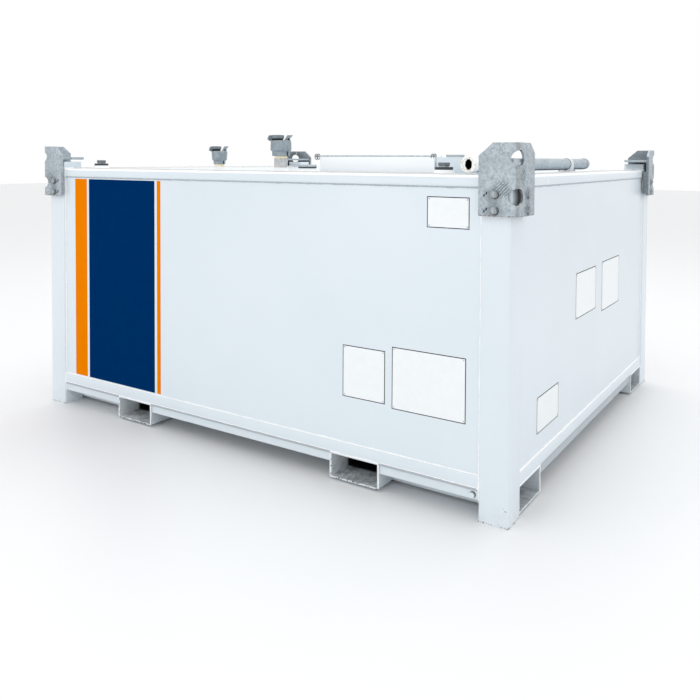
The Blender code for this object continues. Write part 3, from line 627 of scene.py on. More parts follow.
def fleck(bm, centre, outward, size, seed, depth=0.25):
    """Adds a small ragged lump or chip, flat on a face."""
    made = bmesh.ops.create_icosphere(bm, subdivisions=2, radius=1.0)["verts"]
    turn = Vector(outward).to_track_quat("Z", "Y").to_matrix()
    for vert in made:
        ragged = noise.noise(vert.co * 1.3 + Vector((seed, seed * 0.7, 0.0)))
        swell = size * (1.0 + 0.55 * ragged)
        flat = Vector((vert.co.x * swell, vert.co.y * swell * 0.8, vert.co.z * size * depth))
        vert.co = Vector(centre) + turn @ flat


def scatter(bm, start, end, outward, count, sizes_mm, seed, spread=0.0):
    """Scatters flecks along a line, strayed a little to either side of it."""
    pick = random.Random(seed)
    start, end = Vector(start), Vector(end)
    aside = (end - start).normalized().cross(Vector(outward))
    smallest, largest = sizes_mm
    for number in range(count):
        place = start.lerp(end, pick.random()) + aside * pick.uniform(-spread, spread)
        size = pick.uniform(smallest * MM, largest * MM)
        fleck(bm, place, outward, size, seed + number * 1.7)


def soften(node, width, pick=None, looks=ENAMEL, segments=2, look_of=None):
    """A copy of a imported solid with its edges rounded, which stands in for it."""
    bm = bmesh.new()
    bm.from_mesh(NODES[node].data)
    bmesh.ops.remove_doubles(bm, verts=bm.verts[:], dist=1e-6)
    bmesh.ops.dissolve_limit(
        bm, angle_limit=math.radians(0.5), verts=bm.verts[:], edges=bm.edges[:],
    )
    if width:
        edges = [
            edge for edge in bm.edges
            if len(edge.link_faces) == 2 and edge.calc_face_angle(0.0) > math.radians(30.0)
            and (pick is None or pick(edge))
        ]
        bmesh.ops.bevel(
            bm, geom=edges, offset=width, segments=segments, profile=0.5, affect="EDGES",
            material=-1, clamp_overlap=True,
        )
    if look_of:
        for face in bm.faces:
            face.material_index = looks.index(look_of(face))
    finish_piece(node + "_finished", bm, looks, stands_for=node)


def long_outer(edge):
    """Picks the long corners of a rolled section."""
    return edge.is_convex and edge.calc_length() > LONG_EDGE


def rail_look(face):
    """Whiter enamel on the rounding of a rail: a painted highlight."""
    return HIGHLIGHT_ENAMEL if 0.15 < face.normal.z < 0.98 else ENAMEL


def side_sill_look(face):
    """Darker enamel on the outside of the flange that hangs under a side sill: painted shade."""
    hanging = abs(face.normal.x) > 0.5 and face.calc_center_median().z < SEAM_Z
    return SHADED_FLANGE_ENAMEL if hanging else ENAMEL


def rounded_frame():
    """Rails, sills and posts with the rounded corners of rolled sections."""
    for side in ("front", "back", "left", "right"):
        soften(
            side + "_rail", RAIL_ROUND, long_outer, [ENAMEL, HIGHLIGHT_ENAMEL], segments=4,
            look_of=rail_look,
        )
        soften(
            side + "_sill", SILL_ROUND, long_outer, [ENAMEL, SHADED_FLANGE_ENAMEL], segments=3,
            look_of=side_sill_look if side in ("left", "right") else None,
        )
    for end in ("front", "back"):
        for side in ("left", "right"):
            soften(f"{end}_{side}_post", 0.0)


def weld_bead(bm, start, end, radius, seed, pitch=6.0 * MM):
    """Adds a rippled weld bead along a straight joint: a grid rolled into a closed tube."""
    start = Vector(start)
    run = Vector(end) - start
    along = run.normalized()
    side = Vector((0.0, 0.0, 1.0)) if abs(along.z) < 0.5 else Vector((1.0, 0.0, 0.0))
    other = along.cross(side)
    steps = max(6, int(run.length / pitch))
    rolled = bmesh.ops.create_grid(
        bm, x_segments=steps, y_segments=BEAD_SIDES, size=0.5,
    )["verts"]
    for vert in rolled:
        distance = (vert.co.x + 0.5) * run.length
        angle = (vert.co.y + 0.5) * 2.0 * math.pi
        swell = 1.0 + 0.16 * math.sin(distance * 2.0 * math.pi / (pitch * 3.1))
        swell += 0.35 * noise.noise(Vector((distance * 55.0, seed, 3.7)))
        wander = noise.noise(Vector((distance * 22.0, seed, 0.0))) * radius * 0.7
        spoke = side * math.cos(angle) + other * math.sin(angle)
        vert.co = start + along * distance + side * wander + spoke * (radius * swell)
    bmesh.ops.remove_doubles(bm, verts=rolled, dist=1e-6)
    rims = [edge for edge in bm.edges if edge.is_boundary]
    bmesh.ops.holes_fill(bm, edges=rims, sides=0)


def ring_bead(bm, centre, radius, bead, seed):
    """Adds a rippled weld bead round a pipe's foot."""
    made = ring(bm, centre, "Z", radius, bead, 72, 7)
    centre = Vector(centre)
    for vert in made:
        flat = Vector((vert.co.x - centre.x, vert.co.y - centre.y, 0.0))
        angle = math.atan2(flat.y, flat.x)
        core = centre + flat.normalized() * radius
        swell = 1.0 + 0.20 * math.sin(angle * radius / 0.003)
        swell += 0.3 * noise.noise(Vector((angle * 4.0, seed, 0.0)))
        vert.co = core + (vert.co - core) * swell


def frame_welds():
    """Weld beads where the walls meet rails, sills and posts, and round the roof."""
    low, high = FRONT_WALL
    side_low, side_high = RIGHT_WALL
    edge_x, edge_y, roof_z = -ROOF[0].x, -ROOF[0].y, RAIL_TOP_Z + ROOF_BEAD_RISE
    beads = bmesh.new()
    seams = bmesh.new()
    roof = bmesh.new()
    for seed, side in ((1.0, -1), (8.0, 1)):
        y = side * (-low.y + MM)
        weld_bead(seams, (low.x, y, high.z), (high.x, y, high.z), TOP_BEAD, seed)
        weld_bead(beads, (low.x, y, low.z), (high.x, y, low.z), LOW_BEAD, seed + 1.3)
        rail_y = side * -TOP_RAIL[1].y
        proud = y + side * RAIL_PROUD
        for x in (low.x, high.x):
            for start, end, shift in (
                ((x, y, SILL[0].z), (x, y, high.z), x),
                ((x, proud, SEAM_Z), (x, proud, SILL_TOP_Z), 0.0),
                ((x, proud, high.z), (x, proud, RAIL_TOP_Z), 0.0),
                ((x, rail_y, RAIL_TOP_Z), (x, proud, RAIL_TOP_Z), 0.4),
            ):
                weld_bead(beads, start, end, POST_BEAD, seed + shift)
            spot = (x, y + side * 3.0 * MM, SEAM_Z - MM)
            fleck(beads, spot, (0, side, 0), 9.0 * MM, seed + x, 0.5)
        x = side * (side_high.x + MM)
        for bm, z, bead, shift in (
            (seams, side_high.z, TOP_BEAD, 3.1), (beads, side_low.z, SIDE_LOW_BEAD, 2.1),
        ):
            weld_bead(bm, (x, side_low.y, z), (x, side_high.y, z), bead, seed + shift)
        for y in (side_low.y, side_high.y):
            weld_bead(beads, (x, y, SILL[0].z), (x, y, side_high.z), POST_BEAD * 0.7, seed + y)
        splice = x + side * RAIL_PROUD
        weld_bead(
            beads, (splice, RAIL_SPLICE_Y, side_high.z), (splice, RAIL_SPLICE_Y, RAIL_TOP_Z),
            SPLICE_BEAD, seed,
        )
        if side < 0:
            weld_bead(
                roof, (-edge_x, -edge_y, roof_z), (edge_x, -edge_y, roof_z), ROOF_BEAD, seed,
            )
        else:
            weld_bead(
                beads, (-edge_x, edge_y, RAIL_TOP_Z), (edge_x, edge_y, RAIL_TOP_Z),
                BACK_ROOF_BEAD, seed,
            )
        roof_x = side * edge_x
        weld_bead(
            roof, (roof_x, -edge_y, roof_z), (roof_x, edge_y, roof_z), ROOF_BEAD, seed + 5.0,
        )
    # Beads in the whiter enamel: a painted highlight
    finish_piece("frame_weld_beads", beads, HIGHLIGHT_ENAMEL, smooth=BEAD_ANGLE)
    # The beads under the top rails are in grey enamel: painted shade under the rails
    finish_piece("top_seam_beads", seams, SHADED_SEAM_ENAMEL, smooth=BEAD_ANGLE)
    finish_piece("roof_seam_beads", roof, ROOF_SEAM, smooth=BEAD_ANGLE)


def sill_seam_shade_bars():
    """Broad grey bar as painted shade in the joint between each sill and the flange under it, with
    a light weld over it.
    """
    seam = bmesh.new()
    light = bmesh.new()
    low, high = SILL
    pocket_low, pocket_high = FORK_POCKET
    sunk = 2.5 * MM
    z = SEAM_Z - sunk
    weld_z = SEAM_Z + 3.4 * MM
    for side in (-1, 1):
        y = side * (-low.y - sunk)
        weld_y = side * (-low.y + 0.4 * MM)
        for start, end in (
            (low.x, -pocket_high.x), (-pocket_low.x, pocket_low.x), (pocket_high.x, high.x),
        ):
            bar(seam, (start, y, z), (end, y, z), SEAM_BEAD, 16)
            weld_bead(
                light, (start, weld_y, weld_z), (end, weld_y, weld_z), SEAM_WELD, y + start,
                10 * MM,
            )
        x = side * (RIGHT_SILL[1].x - sunk)
        bar(seam, (x, SIDE_POCKET[1].y, z), (x, -SIDE_POCKET[1].y, z), SEAM_BEAD - MM, 16)
    # Grey bars as painted shade in the sill joints; their welds in the whiter enamel are a painted
    # highlight
    finish_piece("sill_seam_shade_bars", seam, SEALANT_AND_SEAM_SHADE, smooth=BEAD_ANGLE)
    finish_piece("sill_seam_welds", light, HIGHLIGHT_ENAMEL, smooth=BEAD_ANGLE)


def lug_bolt(metal, shadow_disc, centre, outward):
    """Adds a bolt on its washer, its thread proud of its head, and a painted shadow: a dark disc
    under it, set low and aside.
    """
    outward = Vector(outward)
    centre = Vector(centre)
    # The dark disc sits low and to one side of the bolt: a painted shadow
    aside = Vector((abs(outward.y), abs(outward.x), 0.0)) * 2.4 * MM
    under = centre + aside + Vector((0.0, 0.0, -2.2 * MM))
    bar(shadow_disc, under - outward * MM, under + outward * 0.5 * MM, 13.4 * MM, 32)
    for start, end, radius, sides, tip in BOLT_STEPS:
        bar(
            metal, centre + outward * start * MM, centre + outward * end * MM, radius * MM,
            sides, tip * MM,
        )


def lug_places():
    """Each lug's name, its side signs and its outer faces."""
    for side_x, across in ((-1, "left"), (1, "right")):
        for side_y, along in ((-1, "front"), (1, "back")):
            name = f"{along}_{across}_lug"
            low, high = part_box(name)
            face_x = high.x if side_x > 0 else low.x
            yield name, side_x, side_y, face_x, high.y if side_y > 0 else low.y


def lifting_lugs():
    """Lugs with rounded edges, their packers, bolts, inner bends, punched marks and rusty edges."""
    bolts = bmesh.new()
    bolt_shadow_discs = bmesh.new()
    marks = bmesh.new()
    wear = bmesh.new()
    bends = bmesh.new()
    low, top = LUG[0].z, LUG[1].z
    for name, side_x, side_y, face_x, face_y in lug_places():

        def finish_of(face):
            middle = face.calc_center_median()
            behind = min(
                abs(face_x) - LUG_WALL - abs(middle.x), abs(face_y) - LUG_WALL - abs(middle.y),
            )
            aside = max(abs(middle.x - face_x), abs(middle.y - face_y))
            within = low + 5.0 * MM < middle.z < top - 5.0 * MM and -LUG_WALL < behind < -MM
            # Faces round an eye: a painted highlight on its floor, painted shade under its crown
            if within and aside < EYE_REACH:
                if face.normal.z > 0.35:
                    return PAINTED_LIT_EYE_ZINC
                if face.normal.z < -0.15:
                    return PAINTED_SHADE_EYE_ZINC
            # The outer fold gets darker, warmer zinc: painted shade
            if face.normal.x * side_x > 0.3 and face.normal.y * side_y > 0.3:
                return SHADED_FOLD_ZINC
            if behind < -MM:
                return ZINC
            # Inner faces of the back lugs get darker zinc: painted shade
            if behind < 1.5 * MM and abs(face.normal.z) < 0.5:
                return SHADED_INNER_ZINC if side_y > 0 else ZINC
            return PACKER if middle.z < RAIL_TOP_Z else ZINC

        soften(
            name, 1.2 * MM, look_of=finish_of,
            looks=[ZINC, SHADED_FOLD_ZINC, PACKER, SHADED_INNER_ZINC, PAINTED_LIT_EYE_ZINC, PAINTED_SHADE_EYE_ZINC],
        )
        corner = Vector((face_x - side_x * LUG_WALL, face_y - side_y * LUG_WALL, top - 12.5 * MM))
        turn = Matrix.Rotation(math.radians(45.0), 4, "Z")
        size = Matrix.Diagonal((12.0 * MM, 12.0 * MM, 22.0 * MM, 1.0))
        bmesh.ops.create_cube(bends, size=1.0, matrix=Matrix.Translation(corner) @ turn @ size)
        for drop in LUG_BOLT_DROPS:
            z = top - drop
            bolt_x, bolt_y = face_x - side_x * LUG_BOLT_IN[0], face_y - side_y * LUG_BOLT_IN[1]
            lug_bolt(bolts, bolt_shadow_discs, (bolt_x, face_y, z), (0, side_y, 0))
            lug_bolt(bolts, bolt_shadow_discs, (face_x, bolt_y, z), (side_x, 0, 0))
            mark_y = face_y + side_y * 0.1 * MM
            for shift, rise in mm((-5.5, -3.5), (2.5, 3.5)):
                x = face_x - side_x * PUNCH_IN + shift
                bar(
                    marks, (x - MM, mark_y, z + rise - 3.8 * MM),
                    (x + 1.6 * MM, mark_y, z + rise + 3.8 * MM), 2.1 * MM, 8,
                )
        foot = low + MM
        seed = side_x + 2 * side_y
        scatter(
            wear, (face_x - side_x * LUG_LEG, face_y, foot), (face_x - side_x * 0.02, face_y, foot),
            (0, side_y, 0), 34, (1.2, 3.0), 3 + seed,
        )
        scatter(
            wear, (face_x, face_y - side_y * LUG_SIDE_LEG, foot),
            (face_x, face_y - side_y * 0.02, foot), (side_x, 0, 0), 22, (1.2, 2.6), 9 + seed,
        )
    finish_piece("lug_bolts", bolts, FASTENER, smooth=BOLT_ANGLE)
    # Dark discs under the bolts: painted shadows
    finish_piece("lug_bolt_painted_shadows", bolt_shadow_discs, IRON, smooth=BOLT_ANGLE)
    finish_piece("lug_punch_marks", marks, RUBBER, smooth=BOLT_ANGLE)
    finish_piece("lug_edge_wear", wear, RUST, smooth=BEAD_ANGLE)
    # The inner bends are in the fold's darker zinc: painted shade
    finish_piece("lug_inner_bends", bends, SHADED_FOLD_ZINC)


def pockets():
    """Fork pockets: painted tube with rounded corners, its floor scuffed to bare steel by tines."""
    names = [(side + "_fork_pocket", 1, FORK_FLOOR, FORK_WALLS) for side in ("left", "right")]
    for end in ("front", "back"):
        for side in ("left", "right"):
            names.append((f"{end}_{side}_side_pocket", 0, SIDE_FLOOR, SIDE_WALLS))
    for name, run, floor, walls in names:
        low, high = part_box(name)
        across = 1 - run

        def along_run(edge):
            along = (edge.verts[0].co - edge.verts[1].co).normalized()[run]
            return edge.is_convex and edge.calc_length() > POCKET_EDGE and abs(along) > 0.9

        def inside(face):
            middle = face.calc_center_median()
            clear = min(
                middle[across] - low[across], high[across] - middle[across],
                middle.z - low.z, high.z - middle.z,
            )
            if abs(face.normal[run]) > 0.5 or clear < POCKET_WALL * 0.7:
                return ENAMEL
            # Walls get the darker enamel of painted shade, floors the scuffed steel
            return floor if face.normal.z > 0.5 else walls

        soften(name, 4.0 * MM, along_run, [ENAMEL, floor, walls], segments=3, look_of=inside)


def pocket_mouths():
    """Bright beads round the mouth of each pocket, with chips knocked out of the paint by tines."""
    beads = bmesh.new()
    chips = bmesh.new()
    for number, name in enumerate(("left_fork_pocket", "right_fork_pocket")):
        low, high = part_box(name)
        for side in (-1, 1):
            y = side * (high.y - 0.5 * MM)
            weld_bead(beads, (low.x, y, high.z), (high.x, y, high.z), 2.8 * MM, low.x + y)
            for x in (low.x, high.x):
                weld_bead(beads, (x, y, low.z + 4.0 * MM), (x, y, high.z), 2.0 * MM, x + y)
            rim, out, seed = side * high.y, (0, side, 0), 20 * number + side
            corner = (low.x + 3 * MM, rim, low.z + 3 * MM)
            for end, count, largest, shift in (
                ((high.x - 3 * MM, rim, low.z + 3 * MM), 34 - 18 * number, 3.2, 2),
                ((low.x + 3 * MM, rim, high.z - 4 * MM), 16 - 10 * number, 2.8, 5),
            ):
                scatter(chips, corner, end, out, count, (1.0, largest), seed + shift, 1.5 * MM)
    low, high = SIDE_POCKET
    foot = low.z + 3 * MM
    for side_x in (-1, 1):
        for side_y in (-1, 1):
            low_y, high_y = sorted((side_y * low.y, side_y * high.y))
            x = side_x * high.x
            for y in (low_y, high_y):
                weld_bead(beads, (x, y, low.z + 4.0 * MM), (x, y, SEAM_Z), 1.8 * MM, x + y)
            weld_bead(beads, (x, low_y, SEAM_Z), (x, high_y, SEAM_Z), 2.2 * MM, x + side_y)
            scatter(
                chips, (x, low_y + 3 * MM, foot), (x, high_y - 3 * MM, foot), (side_x, 0, 0), 10,
                (0.8, 2.2), x, MM,
            )
    # Beads in the whiter enamel: a painted highlight
    finish_piece("pocket_weld_beads", beads, HIGHLIGHT_ENAMEL, smooth=BEAD_ANGLE)
    finish_piece("pocket_paint_chips", chips, RUBBER, smooth=BEAD_ANGLE)


def post_feet():
    """Chips and dirt along the bottom edges of the posts, where the tank is set down."""
    dirt = bmesh.new()
    low, high = NEAR_POST
    foot = 3 * MM
    for side_x in (-1, 1):
        for side_y in (-1, 1):
            x, y = side_x * high.x, side_y * -low.y
            seed = 40 + 3 * side_x + side_y
            for end, out, shift in (
                ((side_x * low.x, y, foot), (0, side_y, 0), 0),
                ((x, side_y * -high.y, foot), (side_x, 0, 0), 1),
            ):
                scatter(dirt, (x, y, foot), end, out, 16, (1.0, 2.6), seed + shift, MM)
    # A knock low on the near post, right of its middle
    scatter(
        dirt, (1.160, low.y, 0.066), (1.166, low.y, 0.054), (0, -1, 0), 5, (1.0, 2.4), 77, 2 * MM,
    )
    finish_piece("post_foot_dirt", dirt, RUST, smooth=BEAD_ANGLE)


def cap_place(kind, turn=CAP_TURN):
    """From a cap's own axes to the tank's."""
    low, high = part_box(kind + "_neck")
    centre = (low + high) / 2.0
    return Matrix.Translation((centre.x, centre.y, 0.0)) @ Matrix.Rotation(turn, 4, "Z")


def set_on_neck(bm, kind, turn=CAP_TURN):
    """Turns and moves what was modelled round a cap's own axis to its neck."""
    bmesh.ops.transform(bm, matrix=cap_place(kind, turn), verts=bm.verts[:])


def cap_body(kind):
    """Cast cap body: collar, bore, two hinge ears with their pin, and a leaning lock ear."""
    size = CAPS[kind]
    scale = size["scale"]
    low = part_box(kind + "_cap_body")[0].z
    pivot = cap_place(kind).inverted() @ PIVOTS[kind + "_lid"]
    top = pivot.z - PIVOT_RISE
    bore = 18.5 * MM * scale
    collar_r, collar_top = size["collar_r"], size["collar_top"]
    low_r, body_r = size["low_r"], size["body_r"]
    bm = bmesh.new()
    made = turned(bm, [
        (bore, low), (collar_r - MM, low), (collar_r, low + MM),
        (collar_r, collar_top + 0.6 * MM), (collar_r + 0.5 * MM, collar_top + 1.4 * MM),
        (low_r - 2.0 * MM, collar_top + 4.6 * MM), (low_r - 0.6 * MM, collar_top + 6.4 * MM),
        (low_r, collar_top + 9.0 * MM), (body_r, top - 5.0 * MM),
        (body_r - 0.9 * MM, top - 1.8 * MM), (body_r - 3.0 * MM, top), (bore + 3.0 * MM, top),
        (bore + 2.4 * MM, top - 0.8 * MM), (bore, top - 0.8 * MM),
    ], (0, 0, 0), 56)
    for vert in made:
        if vert.co.xy.length < bore + 3.5 * MM:
            vert.co.x -= 10.0 * MM * scale
    root = 8.3 * MM - body_r
    ear = arc((pivot.x, pivot.z), EAR_R, (-60, -90, -120, -150, 180, 150, 120, 90, 60, 30))
    ear += [(pivot.x + 5.0 * MM, top - 1.2 * MM), (root, top - 1.2 * MM), (root, top - 7.0 * MM)]
    for side in (-1, 1):
        plate(bm, ear, side * 9.0 * MM, side * 13.6 * MM, bevel=0.6 * MM)
        bar(
            bm, (pivot.x, side * 13.2 * MM, pivot.z), (pivot.x, side * 15.0 * MM, pivot.z),
            3.6 * MM, 20, 3.0 * MM,
        )
    pin_end = 13.5 * MM
    bar(bm, (pivot.x, -pin_end, pivot.z), (pivot.x, pin_end, pivot.z), 3.0 * MM, 16)
    rise = size["lid_top"] - top
    lock = [
        (13.0, -0.10), (13.0, 0.10), (18.5, 0.31), (21.5, 0.62), (27.0, 0.98), (28.5, 1.0),
        (51.5, 1.0), (51.0, 0.93), (40.0, 0.44), (40.5, 0.10), (43.0, -0.10),
    ]
    eye = (32.0 * MM * scale, top + 0.25 * rise)
    plate(
        bm, [(x * MM * scale, top + part * rise) for x, part in lock], -3.0 * MM, 3.0 * MM,
        (*eye, 3.8 * MM * scale), 0.6 * MM,
    )
    set_on_neck(bm, kind)
    finish_piece(
        kind + "_cap_body_cast", bm, CASTING, stands_for=kind + "_cap_body",
    )
    # A black bar in the lock ear's hole: painted shade in the hole
    pin = bmesh.new()
    bar(pin, (eye[0], -5.0 * MM, eye[1]), (eye[0], 5.0 * MM, eye[1]), 3.6 * MM * scale, 20)
    set_on_neck(pin, kind)
    finish_piece(kind + "_lock_hole_shade", pin, RUBBER)
    # A black block on the collar stands for its slit: painted shade
    slot_shade = bmesh.new()
    block(
        slot_shade, (collar_r - 4.0 * MM, -4.0 * MM * scale, low + MM),
        (collar_r + 0.35 * MM, 4.0 * MM * scale, collar_top + 2.0 * MM), 0.3 * MM,
    )
    set_on_neck(slot_shade, kind, SLIT_TURN)
    finish_piece(kind + "_collar_slot_shade", slot_shade, RUBBER)


def cap_lid(kind):
    """Cast lid that swings on its pin: a dished disc, its hooked arm and a black gasket."""
    size = CAPS[kind]
    body = kind + "_lid"
    pivot = cap_place(kind).inverted() @ PIVOTS[body]
    top = pivot.z - PIVOT_RISE
    low, high = size["lid_low"], size["lid_top"]
    disc, shift = size["lid_r"], size["lid_shift"]
    bm = bmesh.new()
    turned(bm, [
        (0.0, low), (disc - 0.8 * MM, low), (disc, low + 0.8 * MM), (disc, high - 1.6 * MM),
        (disc - 0.6 * MM, high - 0.5 * MM), (disc - 1.8 * MM, high), (disc - 6.0 * MM, high),
        (disc - 7.5 * MM, high - 1.6 * MM), (0.0, high - 1.6 * MM),
    ], (shift, 0, 0), 48)
    web = shift - disc * 0.72
    hook = arc((pivot.x, pivot.z), KNUCKLE_R, (-50, -75, -100, -125, -150, 180, 155))
    hook += [
        (pivot.x + 0.5 * MM, high - 4.0 * MM), (pivot.x + 2.5 * MM, high - 1.2 * MM),
        (web, high - 1.2 * MM), (web, top + 1.2 * MM), (pivot.x + 5.5 * MM, top + 1.2 * MM),
    ]
    plate(bm, hook, -8.0 * MM, 8.0 * MM, (pivot.x, pivot.z, 3.3 * MM), 0.5 * MM)
    set_on_neck(bm, kind)
    finish_piece(
        kind + "_cap_lid_cast", bm, LID_CASTING, body,
        stands_for=kind + "_cap_lid",
    )
    gasket = bmesh.new()
    rim = disc - 3.2 * MM
    turned(gasket, [
        (0.0, top + 0.5 * MM), (rim - 0.8 * MM, top + 0.5 * MM), (rim, top + 1.3 * MM),
        (rim, low - 0.5 * MM), (rim - 0.6 * MM, low + 0.4 * MM), (0.0, low + 0.4 * MM),
    ], (shift, 0, 0), 48)
    set_on_neck(gasket, kind)
    finish_piece(kind + "_lid_gasket", gasket, RUBBER, body)


def cap_neck(kind, look):
    """Pipe nipple in a painted weld ring, its thread wound with yellow tape under the cap."""
    low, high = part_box(kind + "_neck")
    x, y = cap_place(kind).translation.xy
    size = CAPS[kind]
    outer = size["neck_r"]
    thread = outer - 2.6 * MM
    inner = outer - 4.5 * MM
    foot_z = low.z + size["foot"]
    thread_z = high.z - TAPE_LENGTH
    pipe = bmesh.new()
    turned(pipe, [
        (inner, low.z), (outer, low.z), (outer, thread_z - 0.8 * MM), (outer - 0.8 * MM, thread_z),
        (thread, thread_z), (thread, high.z), (inner, high.z),
    ], (x, y, 0.0), 48)
    finish_piece(kind + "_neck_pipe", pipe, look, stands_for=kind + "_neck")
    foot = bmesh.new()
    turned(foot, [
        (outer - MM, low.z), (outer + 7.2 * MM, low.z), (outer + 4.6 * MM, low.z + 6.0 * MM),
        (outer + 1.6 * MM, foot_z - 2.0 * MM), (outer + 0.4 * MM, foot_z), (outer - MM, foot_z),
    ], (x, y, 0.0), 48)
    for z, out, bead, seed in (
        (low.z + 3.4 * MM, 4.8 * MM, 3.2 * MM, outer * 90.0),
        (foot_z - 2.6 * MM, 1.0 * MM, 2.2 * MM, outer * 50.0),
    ):
        ring_bead(foot, (x, y, z), outer + out, bead, seed)
    # The foot is in the whiter enamel: a painted highlight
    finish_piece(kind + "_neck_foot", foot, HIGHLIGHT_ENAMEL, smooth=BEAD_ANGLE)
    tape = bmesh.new()
    wound = turned(tape, [
        (thread - 0.5 * MM, thread_z + 0.2 * MM), (thread + 0.7 * MM, thread_z + 0.2 * MM),
        (thread + 1.0 * MM, thread_z + 4.0 * MM), (thread + 0.4 * MM, high.z - 0.2 * MM),
        (thread - 0.5 * MM, high.z - 0.2 * MM),
    ], (x, y, 0.0), 64)
    for vert in wound:
        spoke = vert.co - Vector((x, y, vert.co.z))
        if spoke.length > thread:
            angle = math.atan2(spoke.y, spoke.x)
            stray = noise.noise(Vector((angle * 5.0, vert.co.z * 400.0, 0.0)))
            vert.co += spoke.normalized() * 0.5 * MM * stray
    finish_piece(kind + "_thread_tape", tape, TAPE, smooth=BEAD_ANGLE)
    crumbs = bmesh.new()
    pick = random.Random(int(outer * 1e5))
    for number in range(64):
        angle = pick.uniform(0.0, 2.0 * math.pi)
        spoke = Vector((math.cos(angle), math.sin(angle), 0.0))
        if number % 4 == 0:
            height = thread_z + pick.uniform(-0.8, 0.8) * MM
        else:
            height = foot_z + pick.random() ** 1.5 * 5.5 * MM
        spot = Vector((x, y, height)) + spoke * (outer - 0.4 * MM)
        fleck(crumbs, spot, spoke, pick.uniform(1.0, 2.2) * MM, number)
    finish_piece(kind + "_tape_crumbs", crumbs, TAPE_CRUMBS, smooth=BEAD_ANGLE)


def roof_pipe():
    """Zinc pipe on the roof, a white threaded socket in front with tape in it, a black strip under
    it as a painted shadow.
    """
    front, back = PIPE[0].y, PIPE[1].y
    x, z = PIPE_CENTRE.x, PIPE_CENTRE.z
    length = back - front
    bm = bmesh.new()
    turned(bm, [
        (PIPE_BORE, TUBE_START), (PIPE_R, TUBE_START), (PIPE_R, length), (PIPE_BORE, length),
    ], (x, front, z), 48, "Y")
    # The bore's faces get black rubber: painted shade inside the pipe
    for face in bm.faces:
        from_axis = (face.calc_center_median().xz - Vector((x, z))).length
        face.material_index = int(from_axis < PIPE_BORE + 0.3 * MM)
    finish_piece(
        "roof_pipe_tube", bm, [PIPE_ZINC, RUBBER], stands_for="roof_pipe",
    )
    socket = bmesh.new()
    profile = [
        (PIPE_R - MM, SOCKET_LENGTH), (SOCKET_R - 2.0 * MM, SOCKET_LENGTH),
        (SOCKET_R, SOCKET_LENGTH - 2.5 * MM), (SOCKET_R, 2.0 * MM), (SOCKET_R - 1.6 * MM, 0.0),
        (PIPE_BORE + 2.6 * MM, 0.0),
    ]
    for thread in range(6):
        start = 2.4 * thread
        profile += [
            (PIPE_BORE + 0.6 * MM, (1.6 + start) * MM), (PIPE_BORE + 1.9 * MM, (2.8 + start) * MM),
        ]
    profile += [(PIPE_BORE + 0.4 * MM, 16.5 * MM), (PIPE_R - MM, 17.0 * MM)]
    turned(socket, profile, (x, front, z), 64, "Y")
    # The socket is in the whiter enamel: a painted highlight
    finish_piece("pipe_socket", socket, HIGHLIGHT_ENAMEL)
    tape = bmesh.new()
    pick = random.Random(11)
    for number in range(46):
        angle = pick.uniform(0.0, 2.0 * math.pi)
        spoke = Vector((math.cos(angle), 0.0, math.sin(angle)))
        if number % 3:
            spot = Vector((x, front + pick.uniform(0.5, 8.0) * MM, z))
            spot += spoke * (PIPE_BORE + 1.6 * MM)
            fleck(tape, spot, -spoke, pick.uniform(1.2, 2.6) * MM, number)
        else:
            spot = Vector((x, front, z))
            spot += spoke * pick.uniform(PIPE_BORE + 3.0 * MM, SOCKET_R - 2.0 * MM)
            fleck(tape, spot, (0, -1, 0), pick.uniform(1.2, 3.0) * MM, number)
    finish_piece("socket_thread_tape", tape, TAPE_CRUMBS, smooth=BEAD_ANGLE)
    loose = bmesh.new()
    wrap_r = PIPE_BORE + 1.2 * MM
    wound = turned(loose, [
        (BORE_SEEN, 3.0 * MM), (wrap_r, 3.0 * MM), (wrap_r, 8.0 * MM), (BORE_SEEN, 8.0 * MM),
    ], (x, front, z), 60, "Y")
    for vert in wound:
        spoke = Vector((vert.co.x - x, 0.0, vert.co.z - z))
        if spoke.length < BORE_SEEN + MM:
            angle = math.atan2(spoke.z, spoke.x)
            torn = noise.noise(Vector((3.2 * math.cos(angle), 3.2 * math.sin(angle), 8.0)))
            sagged = Vector((spoke.x * 0.82, 0.0, spoke.z * 1.22))
            vert.co = Vector((x, vert.co.y, z)) + sagged * (1.0 + 0.16 * torn)
    finish_piece("socket_loose_tape", loose, FRAYED_TAPE, smooth=BEAD_ANGLE)
    # A black strip under the pipe: a painted contact shadow
    strip = bmesh.new()
    underside = z - PIPE_R
    block(
        strip, (x - STRIP_HALF, STRIP_YS[0], underside - 3.0 * MM),
        (x + STRIP_HALF, STRIP_YS[1], underside + 1.4 * MM), 0.8 * MM,
    )
    finish_piece("pipe_painted_shadow_strip", strip, RUBBER)
    soften("pipe_end_cap", 0.6 * MM, looks=PIPE_ZINC)


